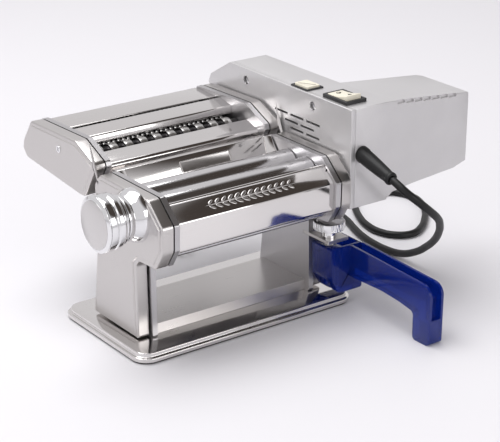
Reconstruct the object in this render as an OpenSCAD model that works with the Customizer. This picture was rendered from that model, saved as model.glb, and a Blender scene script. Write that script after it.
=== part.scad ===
// Motorised pasta roller with a twin cutting head, a gear motor and a
// stabiliser arm. Millimetres. X runs along the rollers towards the motor,
// Y to the back, Z up; the origin is the middle of the base on the table.

/* [Frame] */
// Clear width between the two frame plates
throat_w = 160; // [130:1:200]
// Thickness of a frame plate
plate_t = 5; // [4:0.5:7]
// Seam between a frame plate and its side cover
cover_gap = 1.3; // [0.8:0.1:2]
// Depth of a side cover
cover_depth = 11.7; // [10.5:0.1:16]
// Sheet thickness of the pressed covers
sheet_t = 1.5; // [1:0.1:2]
// Depth of the base plate, front to back
base_d = 130; // [110:1:170]
// How far the base stands out past each side cover
base_margin = 15; // [4:1:25]
// Height of the top face of the base
base_h = 9; // [8:0.5:14]
// Sheet thickness of the base
base_t = 1.6; // [1.2:0.1:2.5]

/* [Rollers] */
// Height of the roller axes above the table
roller_h = 122.4; // [102:0.1:150]
// Radius of the smooth rollers
roller_r = 12.5; // [10.4:0.1:13.5]
// Gap between the rollers at the middle setting
roller_gap = 1.8; // [1.5:0.1:3]
// Throw of the eccentric that moves the front roller
throw = 1.35; // [1:0.05:1.35]
// Radius of the roller shafts
roller_shaft_r = 6; // [5:0.1:7]
// Teeth of each long-tooth roller gear
roller_teeth = 9; // [9:1:9]

/* [Knob] */
// Radius of the adjusting knob
knob_r = 24; // [20:0.1:28]
// Length of the knob along its axis
knob_len = 21; // [19:0.1:24]
// Length of the domed hub between the cover and the knob
hub_len = 16; // [14:0.1:20]
// How far the knob pulls out to free its pin
knob_pull = 3; // [2.5:0.1:3]
// Half of the knob's turn
knob_half_turn = 75; // [60:15:75]

/* [Cutting head] */
// Radius of the cutting rings
cutter_r = 10; // [8.5:0.1:10]
// Distance between the two shafts of a pair of cutters
cutter_pitch = 18.5; // [18:0.1:19]
// Width of the wide noodle
wide_strip = 7.5; // [5:0.1:9]
// Width of the narrow noodle
narrow_strip = 2.5; // [2:0.1:4]
// Radius of the cutter shafts
cutter_shaft_r = 4; // [3.3:0.1:4.5]

/* [Motor unit] */
// Overall length of the motor unit along X
motor_len = 138; // [125:1:165]
// Wall of the moulded housing
motor_wall = 2.5; // [2:0.1:3]
// Module of the gear train
train_mod = 1.5; // [1.5:0.1:1.5]
// Travel of the push button
button_travel = 2; // [1.5:0.1:2.2]
// Tilt of the rocker from rest to its other side
rocker_tilt = 16; // [10:1:18]

/* [Stabiliser] */
// Width of the moulded arm
arm_w = 15; // [12:0.5:20]
// Wall of the moulded arm
arm_wall = 2.5; // [2:0.1:3]
// Radius of the knurled wheel
wheel_r = 14; // [12:0.1:16]
// Travel of the arm on its screw
arm_travel = 4; // [3:0.5:5]

/* [Cord] */
// Diameter of the mains cord
cord_d = 7; // [6:0.5:8]

/* [Hidden] */
$fn = 48;
// small clearances: running fit, loose fit, drawn face gap
run = 0.05;
loose = 0.2;

// planes along X
in_x = throat_w / 2;
plate_x = in_x + plate_t;
shell_x = plate_x + cover_gap;
cover_x = shell_x + cover_depth;
base_w = 2 * (cover_x + base_margin);

// places measured from the roller axes
front_y = -35.7;
rear_y = front_y + 2 * roller_r + roller_gap;
function up(dz) = roller_h + dz;
head_bottom = up(-40.4);
leg_front = -34;
gear_x = plate_x + 2;
roller_gear_t = 6;

// cutter shafts, front to back: the two wide cutters, then the two narrow
tilt_dir = [0.993, 0.118];
pair_gap = 21;
cut1 = [54.05, up(9.6)];
cut2 = cut1 + cutter_pitch * tilt_dir;
cut3 = cut2 + pair_gap * tilt_dir;
cut4 = cut3 + cutter_pitch * tilt_dir;
cut_gear_t = 4;
cut_teeth = 12;

// motor unit
motor_x = cover_x + 1;
motor_end = motor_x + motor_len;
motor_front = -70.4;
motor_top = up(60.2);
motor_floor = up(-29.7);
gearbox_w = 42;
seam_x = motor_x + 5;
train_big = 30;
train_small = 10;
idler_teeth = 33;
drive_teeth = 14;
train_step = train_mod * (train_big + train_small) / 2;
motor_axis = [-40, up(18.6)];
out_axis = [rear_y, roller_h];
// the train climbs from the motor to two compound gears and comes down to
// the output gear; the second compound gear is a step from both neighbours
first_axis = motor_axis + train_step * [cos(25), sin(25)];
second_axis = meet(first_axis, out_axis, train_step, train_step);
idler_axis = meet(cut2, out_axis, train_mod * (idler_teeth + drive_teeth) / 2,
                  train_mod * (train_big + idler_teeth) / 2);
layer1 = motor_x + 5;
layer2 = layer1 + 8;
layer3 = layer2 + 7.5;
layer4 = layer3 + 6.5;
gear_t = 5;
carrier_x = layer4 + 6;
carrier_t = 2;
can_x = carrier_x + 9;
can_len = 64;
can_r = 24;

// stabiliser
arm_x = cover_x + 5;
block_x = cover_x - 15;
block_front = -66.6;
block_rear = -39;
wheel_top = head_bottom - 2;
wheel_t = 7;
bracket_z = wheel_top - wheel_t - 7.5;
bracket_t = 3;
tab_rear = -30;
collar_t = 1;
arm_top = bracket_z - bracket_t - collar_t - arm_travel - 0.5;
screw_at = [cover_x - 8.5, -54.5];
screw_r = 4;

// cord: where it leaves the motor unit and the points that it passes
relief_at = [motor_x + 12.5, motor_front, up(18.6)];
relief_len = 42;
relief_droop = 16;
coil_centre = [100, 190];
coil_in_r = 27;
coil_out_r = 52;
plug_at = [48, 168];

// The point that is ra from a and rb from b, on the left of the way a to b
function meet(a, b, ra, rb) =
    let (d = norm(b - a), e = (b - a) / d, s = (ra * ra - rb * rb + d * d) / (2 * d))
    a + s * e + sqrt(ra * ra - s * s) * [-e[1], e[0]];

function unit(v) = v / norm(v);

// An outline with each corner turned into an arc of radius r
function rounded(pts, r, n = 4) = [
    for (i = [0 : len(pts) - 1])
        let (c = pts[i],
             u = unit(pts[(i + len(pts) - 1) % len(pts)] - c),
             v = unit(pts[(i + 1) % len(pts)] - c),
             half = acos(u * v) / 2,
             reach = min(r / tan(half),
                         0.48 * norm(pts[(i + len(pts) - 1) % len(pts)] - c),
                         0.48 * norm(pts[(i + 1) % len(pts)] - c)),
             rr = reach * tan(half),
             m = c + unit(u + v) * rr / sin(half),
             a = atan2(c[1] + u[1] * reach - m[1], c[0] + u[0] * reach - m[0]),
             b = atan2(c[1] + v[1] * reach - m[1], c[0] + v[0] * reach - m[0]),
             turn = b - a > 180 ? b - a - 360 : b - a < -180 ? b - a + 360 : b - a)
        for (k = [0 : n]) m + rr * [cos(a + turn * k / n), sin(a + turn * k / n)]
];

// A counter-clockwise outline moved inwards by w
function inset(pts, w) = [
    for (i = [0 : len(pts) - 1])
        let (p = pts[(i + len(pts) - 1) % len(pts)], c = pts[i],
             q = pts[(i + 1) % len(pts)],
             e = unit(c - p), f = unit(q - c),
             m = [-e[1], e[0]], n = [-f[1], f[0]])
        c + (m + n) * w / (1 + m * n)
];

// A thin sheet that follows an open line, as a closed outline
function strip(pts, w) = concat(pts, [
    for (i = [len(pts) - 1 : -1 : 0])
        let (p = pts[max(i - 1, 0)], c = pts[i], q = pts[min(i + 1, len(pts) - 1)],
             e = unit(i == 0 ? q - c : c - p), f = unit(i == len(pts) - 1 ? c - p : q - c),
             m = [-e[1], e[0]], n = [-f[1], f[0]])
        c + (m + n) * w / (1 + m * n)
]);

// Extrude an outline in Y and Z from x0 to x1
module along_x(x0, x1) {
    translate([x0, 0, 0]) rotate([90, 0, 90]) linear_extrude(x1 - x0) children();
}

// Round bar along X about the axis at = [y, z]
module bar(at, r, x0, x1) {
    translate([x0, at[0], at[1]]) rotate([0, 90, 0]) cylinder(r = r, h = x1 - x0);
}

// Turned part along X: points are [radius, x]
module turned(at, pts) {
    translate([0, at[0], at[1]]) rotate([0, 90, 0]) rotate_extrude() polygon(pts);
}

module box(a, b) {
    translate(a) cube(b - a);
}

// ---- gears ----

function inv(a) = tan(a) * 180 / PI - a;

// Outline of an involute gear: play is the thickness taken off each tooth
function gear_points(n, m, add, ded, play) =
    let (rp = n * m / 2, rb = rp * cos(20), ra = rp + add, rf = rp - ded,
         half = 90 / n - play / rp * 90 / PI,
         lo = max(rf, rb),
         flank = [for (k = [0 : 3]) let (r = lo + (ra - lo) * k / 3)
                  [r, half + inv(20) - inv(acos(min(1, rb / r)))]],
         side = rf < lo ? concat([[rf, flank[0][1] * 0.8]], flank) : flank)
    [for (t = [0 : n - 1], s = [-1, 1], k = [0 : len(side) - 1])
        let (p = s < 0 ? side[k] : side[len(side) - 1 - k], a = t * 360 / n + s * p[1])
        p[0] * [cos(a), sin(a)]];

// Angle of a tooth of gear 2 at b when gear 1 at a has a tooth at angle p
function meshed(a, b, p, n1, n2) =
    let (way = atan2(b[1] - a[1], b[0] - a[0]))
    way + 180 + (way - p) * n1 / n2 + 180 / n2;

module gear(at, n, m, phase, x0, x1, add = 0.8, ded = 1.15, play = 0.2) {
    along_x(x0, x1) translate(at) rotate(phase)
        polygon(gear_points(n, m, add * m, ded * m, play));
}

out_phase = 0;
second_pinion_phase = meshed(out_axis, second_axis, out_phase, train_big, train_small);
first_pinion_phase = meshed(second_axis, first_axis, 0, train_big, train_small);
rotor_phase = meshed(first_axis, motor_axis, 0, train_big, train_small);
idler_phase = meshed(out_axis, idler_axis, out_phase, train_big, idler_teeth);
wide_phase = meshed(idler_axis, cut2, idler_phase, idler_teeth, drive_teeth);
narrow_phase = meshed(cut2, cut3, wide_phase, drive_teeth, drive_teeth);

// ---- frame ----

base_corner = 15;
rim_step = 3;
rim_z = 1.5;

module rounded_plate(w, d, r, z0, z1) {
    translate([0, 0, z0]) linear_extrude(z1 - z0)
        polygon(rounded([[-w / 2, -d / 2], [w / 2, -d / 2], [w / 2, d / 2], [-w / 2, d / 2]], r, 6));
}

// Pressed steel tray with a stepped, rolled rim
module base_plate() {
    color("silver") difference() {
        union() {
            rounded_plate(base_w, base_d, base_corner, rim_z, base_h - 3.5);
            rounded_plate(base_w - 2 * rim_step, base_d - 2 * rim_step, base_corner - rim_step,
                          base_h - 3.6, base_h);
        }
        rounded_plate(base_w - 2 * rim_step - 2 * base_t, base_d - 2 * rim_step - 2 * base_t,
                      base_corner - rim_step - base_t, -1, base_h - base_t);
    }
}

// Rubber ring under the rim that the base stands on
module rubber_edging() {
    edge = 1.5;
    wide = 7;
    color("#2b2b2b") difference() {
        rounded_plate(base_w - 2 * edge, base_d - 2 * edge, base_corner - edge, 0, rim_z);
        rounded_plate(base_w - 2 * edge - 2 * wide, base_d - 2 * edge - 2 * wide,
                      base_corner - edge - wide, -1, rim_z + 1);
    }
}

// Channel that ties the feet of the frame plates together
module cross_member() {
    color("silver") along_x(-in_x, in_x)
        polygon(strip([[-33, base_h], [-33, base_h + 9.5], [30, base_h + 9.5], [30, base_h]],
                      -sheet_t));
}

// Outline of a frame plate: head at the top, leg below
function frame_outline(leg_y, foot_z, corner) = rounded([
    [-54.4, up(18.1)], [-75.5, up(-0.6)], [-75, up(-22.4)], [-64.5, up(-39)],
    [leg_y - corner, head_bottom], [leg_y, head_bottom - corner], [leg_y - 1.5, foot_z],
    [35, foot_z], [27.5, up(-54)], [27.5, up(8)], [19, up(18.1)]], 2.5, 3);

rod_at = [[20, up(-9)], [-2, up(-30)], [-58, up(-31)]];
rod_r = 4;
slot = [[-62.5, up(-9)], [-24.4, up(9)]];
bush_r = 8;

module frame_plate(s) {
    x0 = s < 0 ? -plate_x : in_x;
    difference() {
        along_x(x0, x0 + plate_t) polygon(frame_outline(leg_front - 3.8, base_h, 2));
        bar([rear_y, roller_h], bush_r, x0 - 1, x0 + plate_t + 1);
        for (p = rod_at) bar(p, rod_r, x0 - 1, x0 + plate_t + 1);
        along_x(x0 - 1, x0 + plate_t + 1) translate(slot[0]) square(slot[1] - slot[0]);
        if (s > 0) box([x0 - 1, -60, bracket_z - bracket_t], [x0 + plate_t + 1, tab_rear, bracket_z]);
    }
}

module left_frame_plate() { color("silver") frame_plate(-1); }
module right_frame_plate() { color("silver") frame_plate(1); }

// Pressed cover over a frame plate, on four spacers; s is the side
module side_cover(s) {
    outline = frame_outline(leg_front, base_h + 1.6, 5);
    mirror([s < 0 ? 1 : 0, 0, 0]) {
        difference() {
            along_x(shell_x, cover_x) polygon(outline);
            along_x(shell_x - 1, cover_x - sheet_t) polygon(inset(outline, sheet_t));
            if (s > 0) bar(out_axis, roller_shaft_r + 1, cover_x - 3, cover_x + 1);
            if (s < 0) bar([front_y, roller_h], 10, cover_x - 3, cover_x + 1);
        }
        for (p = [[22, up(-58)], [-26, up(-58)], [22, 22], [-28, 22]])
            bar(p, 4, plate_x, cover_x - sheet_t + 0.1);
    }
}

module left_side_cover() { color("gainsboro") side_cover(-1); }
module right_side_cover() { color("gainsboro") side_cover(1); }

// Folded cover in front of the front roller
module front_cover() {
    color("gainsboro") {
        along_x(-in_x + 0.1, in_x - 0.1)
            polygon(strip([[-57.2, up(12)], [-72.2, up(-1)], [-72.2, up(-25)],
                           [-70, up(-27.5)], [-60.5, up(-27.5)]], sheet_t));
        bar([-57.6, up(10.6)], 1.6, -in_x + 0.1, in_x - 0.1);
    }
}

rear_y_out = 26;
module rear_cover() {
    color("gainsboro") along_x(-in_x + 0.1, in_x - 0.1)
        polygon(strip([[rear_y_out, up(-62)], [rear_y_out, up(17)], [20.8, up(17.6)]], sheet_t));
}

hopper_top = [19.3, up(17.4)];
hopper_low = [9.5, up(1.4)];
// Sloping plate that leads the dough to the rollers, with a wing at each end
module hopper_plate() {
    fall = unit(hopper_low - hopper_top);
    color("white") {
        along_x(-in_x + 0.1, in_x - 0.1) polygon(strip([hopper_top, hopper_low], 1.2));
        for (s = [-1, 1]) mirror([s < 0 ? 1 : 0, 0, 0]) hull() {
            translate([in_x - 7.5, hopper_top[0], hopper_top[1]]) sphere(r = 0.6, $fn = 8);
            translate([in_x - 10, hopper_low[0], hopper_low[1]]) sphere(r = 0.6, $fn = 8);
            translate([in_x - 0.8, hopper_top[0] - 2, hopper_top[1]]) sphere(r = 0.6, $fn = 8);
            translate([in_x - 0.8, hopper_low[0] - 5, hopper_low[1] + 1])
                sphere(r = 0.6, $fn = 8);
        }
    }
}

// Blank raised plaque on the hopper plate
module name_plaque() {
    fall = unit(hopper_low - hopper_top);
    mid = (hopper_top + hopper_low) / 2;
    slope = atan2(fall[1], fall[0]);
    color("silver") translate([7, mid[0], mid[1]]) rotate([slope + 180, 0, 0])
        linear_extrude(1.2)
            polygon(rounded([[-26, -5.2], [26, -5.2], [26, 5.2], [-26, 5.2]], 2.5));
}

module tie_rods() {
    color("gray") for (p = rod_at) {
        bar(p, rod_r, -plate_x, plate_x);
        for (s = [-1, 1]) bar(p, rod_r + 0.01, s * (in_x - 1) - 0.5, s * (in_x - 1) + 0.5);
    }
}

// Thin blades that peel the sheet off the rollers
module roller_scrapers() {
    blade_z = up(-roller_r) - 1.2;
    color("white") for (p = [[front_y - 6, 1], [rear_y + 6, -1]])
        box([-in_x + 0.1, p[0] - 4, blade_z - 1.2], [in_x - 0.1, p[0] + 4, blade_z]);
}

module roller_bushes() {
    color("goldenrod") for (s = [-1, 1]) mirror([s < 0 ? 1 : 0, 0, 0]) difference() {
        bar(out_axis, bush_r, in_x, plate_x + 0.8);
        bar(out_axis, roller_shaft_r + run, in_x - 1, plate_x + 2);
    }
}

// ---- rollers ----

module rear_roller() {
    color("white") difference() {
        turned(out_axis, [[0, -plate_x - 1], [roller_shaft_r, -plate_x - 1],
                          [roller_shaft_r, -in_x + 0.5], [roller_r, -in_x + 0.5],
                          [roller_r, in_x - 0.5], [roller_shaft_r, in_x - 0.5],
                          [roller_shaft_r, cover_x - 2], [0, cover_x - 2]]);
        translate([cover_x - 8, out_axis[0], out_axis[1]]) rotate([0, 90, 0])
            cylinder(r = 4.2, h = 10, $fn = 6);
    }
}

roller_mod = (2 * roller_r + roller_gap) / roller_teeth;
module roller_gear(y, phase) {
    difference() {
        gear([y, roller_h], roller_teeth, roller_mod, phase, gear_x, gear_x + roller_gear_t,
             add = 0.9, ded = 1.4, play = 1.1);
        bar([y, roller_h], roller_shaft_r, gear_x - 1, gear_x + roller_gear_t + 1);
    }
}
module rear_roller_gear() { color("gray") roller_gear(rear_y, 0); }
module front_roller_gear() {
    color("gray") roller_gear(front_y, meshed([rear_y, 0], [front_y, 0], 0,
                                              roller_teeth, roller_teeth));
}

module front_roller() {
    color("white") turned([front_y, roller_h],
        [[0, -plate_x - 0.3], [roller_shaft_r, -plate_x - 0.3], [roller_shaft_r, -in_x + 0.5],
         [roller_r, -in_x + 0.5], [roller_r, in_x - 0.5], [roller_shaft_r, in_x - 0.5],
         [roller_shaft_r, gear_x + roller_gear_t + 0.5], [0, gear_x + roller_gear_t + 0.5]]);
}

follower_x = plate_x + 1.2;
follower_t = 4.5;
cam_r = 7;
// Two sliding blocks that carry the front roller, tied by a bar; the left one
// has a slotted follower for the eccentric
module roller_yoke() {
    block = [[-60.6, up(-8.8)], [-26, up(8.8)]];
    color("lightsteelblue") difference() {
        union() {
            for (s = [-1, 1]) mirror([s < 0 ? 1 : 0, 0, 0])
                along_x(in_x + 0.1, plate_x - 0.1) translate(block[0])
                    square(block[1] - block[0]);
            bar([-55.8, roller_h], 3, -in_x - 0.2, in_x + 0.2);
            along_x(-follower_x - follower_t, -plate_x + 0.05)
                translate(block[0]) square(block[1] - block[0]);
        }
        bar([front_y, roller_h], roller_shaft_r + run, -plate_x - 0.6, -in_x + 1);
        bar([front_y, roller_h], roller_shaft_r + run, in_x - 1, plate_x + 1);
        along_x(-follower_x - follower_t - 1, -plate_x - 0.5)
            translate([front_y - cam_r - loose, up(-20)]) square([2 * (cam_r + loose), 40]);
    }
}

// ---- adjusting knob ----

knob_face = -(cover_x + hub_len + 1.2);
knob_shaft_r = 5;
key_half = 3.5;
module knob_shaft() {
    axis = [front_y, roller_h];
    end_x = knob_face - knob_len + 5;
    color("gray") {
        bar([front_y, up(throw)], cam_r, -follower_x - follower_t, -follower_x + 0.4);
        bar(axis, knob_shaft_r, knob_face + 2, -follower_x - follower_t);
        box([end_x, front_y - key_half, roller_h - key_half],
            [knob_face + 2.1, front_y + key_half, roller_h + key_half]);
        bar(axis, 6.5, end_x - 1.5, end_x);
    }
}

// Domed hub on the side cover, with index holes in the floor of a round groove
module knob_hub() {
    hub_x = -(cover_x + hub_len);
    color("silver") difference() {
        turned([front_y, roller_h], [[0, -cover_x], [knob_r - 1, -cover_x],
            [knob_r - 1.6, -cover_x - 4], [knob_r - 3.2, -cover_x - 7.5],
            [knob_r - 5, -cover_x - 10.5], [knob_r - 4, hub_x + 3], [knob_r - 4, hub_x],
            [0, hub_x]]);
        bar([front_y, roller_h], knob_shaft_r + run, hub_x - 1, -cover_x + 1);
        turned([front_y, roller_h], [[13.3, hub_x - 1], [16.7, hub_x - 1], [16.7, hub_x + 2],
                                     [13.3, hub_x + 2]]);
        for (a = [-knob_half_turn : 15 : knob_half_turn])
            translate([hub_x - 1, front_y, roller_h]) rotate([a, 0, 0])
                translate([0, 0, 15]) rotate([0, 90, 0]) cylinder(r = 1.7, h = 4.2);
    }
    color("silver") difference() {
        bar([front_y, roller_h], 9.8, -cover_x, -cover_x + 4);
        bar([front_y, roller_h], knob_shaft_r + run, -cover_x - 1, -cover_x + 6);
    }
}

// Grip of the knob: slides on the squared shaft, with one index pin
module knob_body() {
    outer_x = knob_face - knob_len + 3;
    color("gainsboro") {
        difference() {
            turned([front_y, roller_h], [[0, knob_face], [knob_r - 3, knob_face],
                [knob_r - 2.2, knob_face - 1], [knob_r - 2.2, knob_face - 3],
                [knob_r - 0.6, knob_face - 5], [knob_r - 0.6, knob_face - 9],
                [knob_r - 1.6, knob_face - 10], [knob_r - 1.6, knob_face - 11],
                [knob_r, knob_face - 12], [knob_r, outer_x], [0, outer_x]]);
            bar([front_y, roller_h], 9, outer_x - 1, knob_face - 6);
            box([knob_face - 7, front_y - key_half - 0.15, roller_h - key_half - 0.15],
                [knob_face - 1, front_y + key_half + 0.15, roller_h + key_half + 0.15]);
            bar([front_y, roller_h], knob_shaft_r + 0.4, knob_face - 2.2, knob_face + 1);
        }
        translate([knob_face - 1, front_y, roller_h + 15]) rotate([0, 90, 0])
            cylinder(r = 1.45, h = knob_pull + 1);
    }
}

module knob_cap() {
    outer_x = knob_face - knob_len + 3;
    color("white") turned([front_y, roller_h], [[0, outer_x], [knob_r, outer_x],
        [knob_r - 0.3, outer_x - 1.2], [knob_r - 6.5, outer_x - 3], [0, outer_x - 3]]);
}

module knob_spring() {
    end_x = knob_face - knob_len + 5;
    wire = 0.5;
    turns = 3;
    length = knob_face - 6 - end_x - 0.2 - 2 * wire;
    color("gray") for (k = [0 : turns])
        translate([end_x + 0.1 + wire + length * k / turns, front_y, roller_h])
            rotate([0, 90, 0]) rotate_extrude() translate([7.6, 0]) circle(r = wire, $fn = 16);
}

// ---- cutting head ----

function cutter_outline() = rounded([
    [57, up(37)], [28.5, up(24.6)], [26.6, up(20)], [44.5, up(-9.2)], [50.5, up(-10)],
    [144, up(-2.1)], [150.6, up(5.1)], [149, up(13)], [134, up(34.6)]], 2.5, 3);
cut_axes = [cut1, cut2, cut3, cut4];

module cutter_plate(s) {
    x0 = s < 0 ? -plate_x : in_x;
    difference() {
        along_x(x0, x0 + plate_t) polygon(cutter_outline());
        for (p = cut_axes) bar(p, cutter_shaft_r + run, x0 - 1, x0 + plate_t + 1);
    }
}
module cutter_left_plate() { color("silver") cutter_plate(-1); }
module cutter_right_plate() { color("silver") cutter_plate(1); }

// The right-hand screw sits above the cutter gears
function cover_screw_at(s) = [84.5, up(s < 0 ? 22.3 : 30)];
module cutter_cover(s) {
    screw = cover_screw_at(s);
    mirror([s < 0 ? 1 : 0, 0, 0]) difference() {
        union() {
            difference() {
                along_x(shell_x, cover_x) polygon(cutter_outline());
                along_x(shell_x - 1, cover_x - sheet_t) polygon(inset(cutter_outline(), sheet_t));
            }
            for (p = [screw, [40, up(15)], [138, up(14)]])
                bar(p, 4, plate_x, cover_x - sheet_t + 0.1);
        }
        if (s > 0) for (p = [cut2, cut3]) bar(p, 5.5, cover_x - 3, cover_x + 1);
        bar(screw, 1.6, plate_x - 1, cover_x + 1);
        bar(screw, 3.4, cover_x - 1.4, cover_x + 1);
    }
}
module cutter_left_cover() { color("gainsboro") cutter_cover(-1); }
module cutter_right_cover() { color("gainsboro") cutter_cover(1); }

// Screws of the cutter covers and of the two halves of the motor unit
module cover_screws() {
    color("gray") {
        for (s = [-1, 1]) mirror([s < 0 ? 1 : 0, 0, 0])
            cross_screw(cover_screw_at(s), plate_x, cover_x - 1.4);
        for (p = screw_posts) mirror([1, 0, 0])
            cross_screw(p, -motor_x - 18, -motor_x - 4);
    }
}

// Screw with a crossed head, tip at x0 and head seated at x1
module cross_screw(at, x0, x1) {
    bar(at, 1.6, x0, x1);
    difference() {
        bar(at, 3.3, x1, x1 + 1.8);
        for (a = [45, 135]) translate([x1 + 1, at[0], at[1]])
            rotate([a, 0, 0]) box([0, -2.4, -0.4], [2, 2.4, 0.4]);
    }
}

// Folded panels between the cutter plates
module cutter_rear_panel() {
    color("white") along_x(-in_x + 0.1, in_x - 0.1)
        polygon(strip([[103.4, up(26.2)], [104.8, up(31.8)], [132.5, up(33.6)],
                       [147, up(12.6)], [148.4, up(5)], [143, up(-0.4)]], -1.2));
}

module cutter_roof() {
    color("white") along_x(-in_x + 0.1, in_x - 0.1)
        polygon(strip([[95.4, up(25.6)], [97, up(32.9)], [79.5, up(29.6)], [78.6, up(28)],
                       [77.2, up(22.8)]], 1.2));
}

panel_high = [36.6, up(11.5)];
panel_low = [45.6, up(-6.4)];
// Y of the lower front panel at a height above the roller axes
function on_panel(dz) = panel_high[0] + (panel_low[0] - panel_high[0]) * (11.5 - dz) / 17.9;
module cutter_front_panel() {
    color("white") along_x(-in_x + 0.1, in_x - 0.1)
        polygon(strip([[56.5, up(20.8)], [56, up(22.6)], [42.5, up(18.4)], [38, up(18)],
                       [36.2, up(15.6)], panel_high, panel_low], 1.2));
}

module cutter_combs() {
    low = cutter_r + 0.8;
    color("white") for (k = [0 : 3]) {
        lean = k % 2 == 0 ? -4.5 : 4.5;
        translate([0, cut_axes[k][0] + lean, cut_axes[k][1] - low - 0.6])
            box([-in_x + 0.1, -4, -0.6], [in_x - 0.1, 4, 0.6]);
    }
}

// Brackets that hook the cutting head on the back of the machine
module cutter_hooks() {
    color("silver") for (s = [-1, 1]) mirror([s < 0 ? 1 : 0, 0, 0])
        along_x(in_x - 22, in_x - 8)
            polygon([[rear_y_out, up(-4)], [on_panel(-4), up(-4)], [on_panel(8), up(8)],
                     [30, up(8)], [rear_y_out, up(6)]]);
}

// Cutter with rings that enter the gaps of its neighbour
module cutter(at, first, strip_w, count, x_end) {
    ring = strip_w - 0.1;
    groove_r = cutter_pitch - cutter_r - 0.25;
    rings = [for (k = [0 : count - 1]) let (x = first + 2 * strip_w * k)
             each [[groove_r, x], [cutter_r, x], [cutter_r, x + ring], [groove_r, x + ring]]];
    turned(at, concat(
        [[0, -plate_x - 1], [cutter_shaft_r, -plate_x - 1], [cutter_shaft_r, -in_x + 0.5],
         [groove_r, -in_x + 0.5]], rings,
        [[groove_r, in_x - 0.5], [cutter_shaft_r, in_x - 0.5],
         [cutter_shaft_r, x_end], [0, x_end]]));
}

module pair_gear(at, phase, x0) {
    difference() {
        gear(at, cut_teeth, cutter_pitch / cut_teeth, phase, x0, x0 + cut_gear_t);
        bar(at, cutter_shaft_r - 0.5, x0 - 1, x0 + cut_gear_t + 1);
    }
}

module dog_socket(at) {
    translate([cover_x - 7, at[0], at[1]]) rotate([0, 90, 0]) cylinder(r = 2.7, h = 10, $fn = 6);
}

wide_gear_x = plate_x + 1.5;
narrow_gear_x = wide_gear_x + cut_gear_t + 0.6;
wide_count = floor((throat_w - 1 - wide_strip) / (2 * wide_strip));
narrow_count = floor((throat_w - 1 - narrow_strip) / (2 * narrow_strip));
module wide_cutter_front() {
    color("white") {
        cutter(cut1, -wide_strip * (wide_count + 0.5), wide_strip, wide_count,
               wide_gear_x + cut_gear_t);
        pair_gear(cut1, meshed(cut2, cut1, 0, cut_teeth, cut_teeth), wide_gear_x);
    }
}
module wide_cutter_rear() {
    color("white") difference() {
        union() {
            cutter(cut2, -wide_strip * (wide_count - 0.5), wide_strip, wide_count, cover_x - 2);
            pair_gear(cut2, 0, wide_gear_x);
        }
        dog_socket(cut2);
    }
}
module narrow_cutter_front() {
    color("white") difference() {
        union() {
            cutter(cut3, -narrow_strip * (narrow_count + 0.5), narrow_strip, narrow_count,
                   cover_x - 2);
            pair_gear(cut3, 0, narrow_gear_x);
        }
        dog_socket(cut3);
    }
}
module narrow_cutter_rear() {
    color("white") {
        cutter(cut4, -narrow_strip * (narrow_count - 0.5), narrow_strip, narrow_count,
               narrow_gear_x + cut_gear_t);
        pair_gear(cut4, meshed(cut3, cut4, 0, cut_teeth, cut_teeth), narrow_gear_x);
    }
}

// ---- motor unit ----

function gearbox_outline() = rounded([
    [motor_front, motor_top], [motor_front, motor_floor], [40, motor_floor], [66, up(-22)],
    [104, up(-3)], [129, up(22)], [143, up(33)], [139, up(42)], [108, motor_top]], 6, 4);

// Front view of the motor box, in X and Z, and its plan, in X and Y
function box_front(g) = inset([
    [motor_x, motor_floor + 1.2], [motor_x + 43, motor_floor + 1.6],
    [motor_x + 48, up(-24.1)], [motor_x + 71.6, up(-20.8)], [motor_x + 120, up(-16.8)],
    [motor_end - 3, up(-12)], [motor_end, up(-7)], [motor_end, up(46)],
    [motor_end - 4, up(52)], [motor_x + gearbox_w, motor_top], [motor_x, motor_top]], g);
function box_plan(g) = inset([
    [motor_x, motor_front], [motor_end - 4, motor_front], [motor_end, motor_front + 4],
    [motor_end, -14], [motor_end - 8, -4], [motor_x + gearbox_w, -2], [motor_x, -2]], g);

module motor_body(g) {
    along_x(motor_x + g, motor_x + gearbox_w - g) polygon(inset(gearbox_outline(), g));
    intersection() {
        translate([0, 200, 0]) rotate([90, 0, 0]) linear_extrude(400) polygon(box_front(g));
        linear_extrude(400) polygon(box_plan(g));
    }
}

vent_rows = [[33.2, 41.8, -27], [27, 38, -27], [21, 20, -27], [15, 20, -27],
             [9.5, 20, -27], [4.5, 14, -27]];
vent_len = 19;
screw_posts = [[82.2, up(49.4)], [-16.7, up(50.2)], [-62, up(-20)], [14, up(-21)]];
post_r = 5;
post_meet = motor_x + 9;

module vents() {
    for (k = [0 : len(vent_rows) - 1]) {
        row = vent_rows[k];
        for (y = [row[2] + (k % 2) * 8 : vent_len + 4 : row[1] - vent_len])
            box([motor_x - 1, y, up(row[0])], [motor_x + motor_wall + 1, y + vent_len,
                                               up(row[0]) + 2]);
    }
}

// Left half of the gearbox: carries the gear pins and the output bearings
module gearbox_cover() {
    color("lightgray") difference() {
        union() {
            intersection() {
                difference() {
                    motor_body(0);
                    motor_body(motor_wall);
                }
                box([motor_x - 1, -200, 0], [seam_x, 200, 400]);
            }
            for (p = [out_axis, cut2, cut3]) bar(p, 8, motor_x + 1, layer1 - 0.3);
            for (p = [first_axis, second_axis, idler_axis]) bar(p, 5, motor_x + 1, layer1 - 0.3);
            for (p = screw_posts) bar(p, post_r, motor_x + 0.5, post_meet);
        }
        bar(out_axis, 5 + run, motor_x - 1, layer1 + 1);
        for (p = [cut2, cut3]) bar(p, 4 + run, motor_x - 1, layer1 + 1);
        for (p = [first_axis, second_axis, idler_axis]) bar(p, 2.5, motor_x + 1.5, layer1 + 1);
        for (p = screw_posts) {
            bar(p, 4, motor_x - 1, motor_x + 4);
            bar(p, 1.6, motor_x, post_meet + 1);
        }
        vents();
        key_holes();
    }
}

button_at = [motor_x + 11.5, 6];
button_size = [14, 19];
rocker_at = [motor_x + 15.5, -41.5];
rocker_size = [17, 27];
bezel_lip = 1.5;

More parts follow.
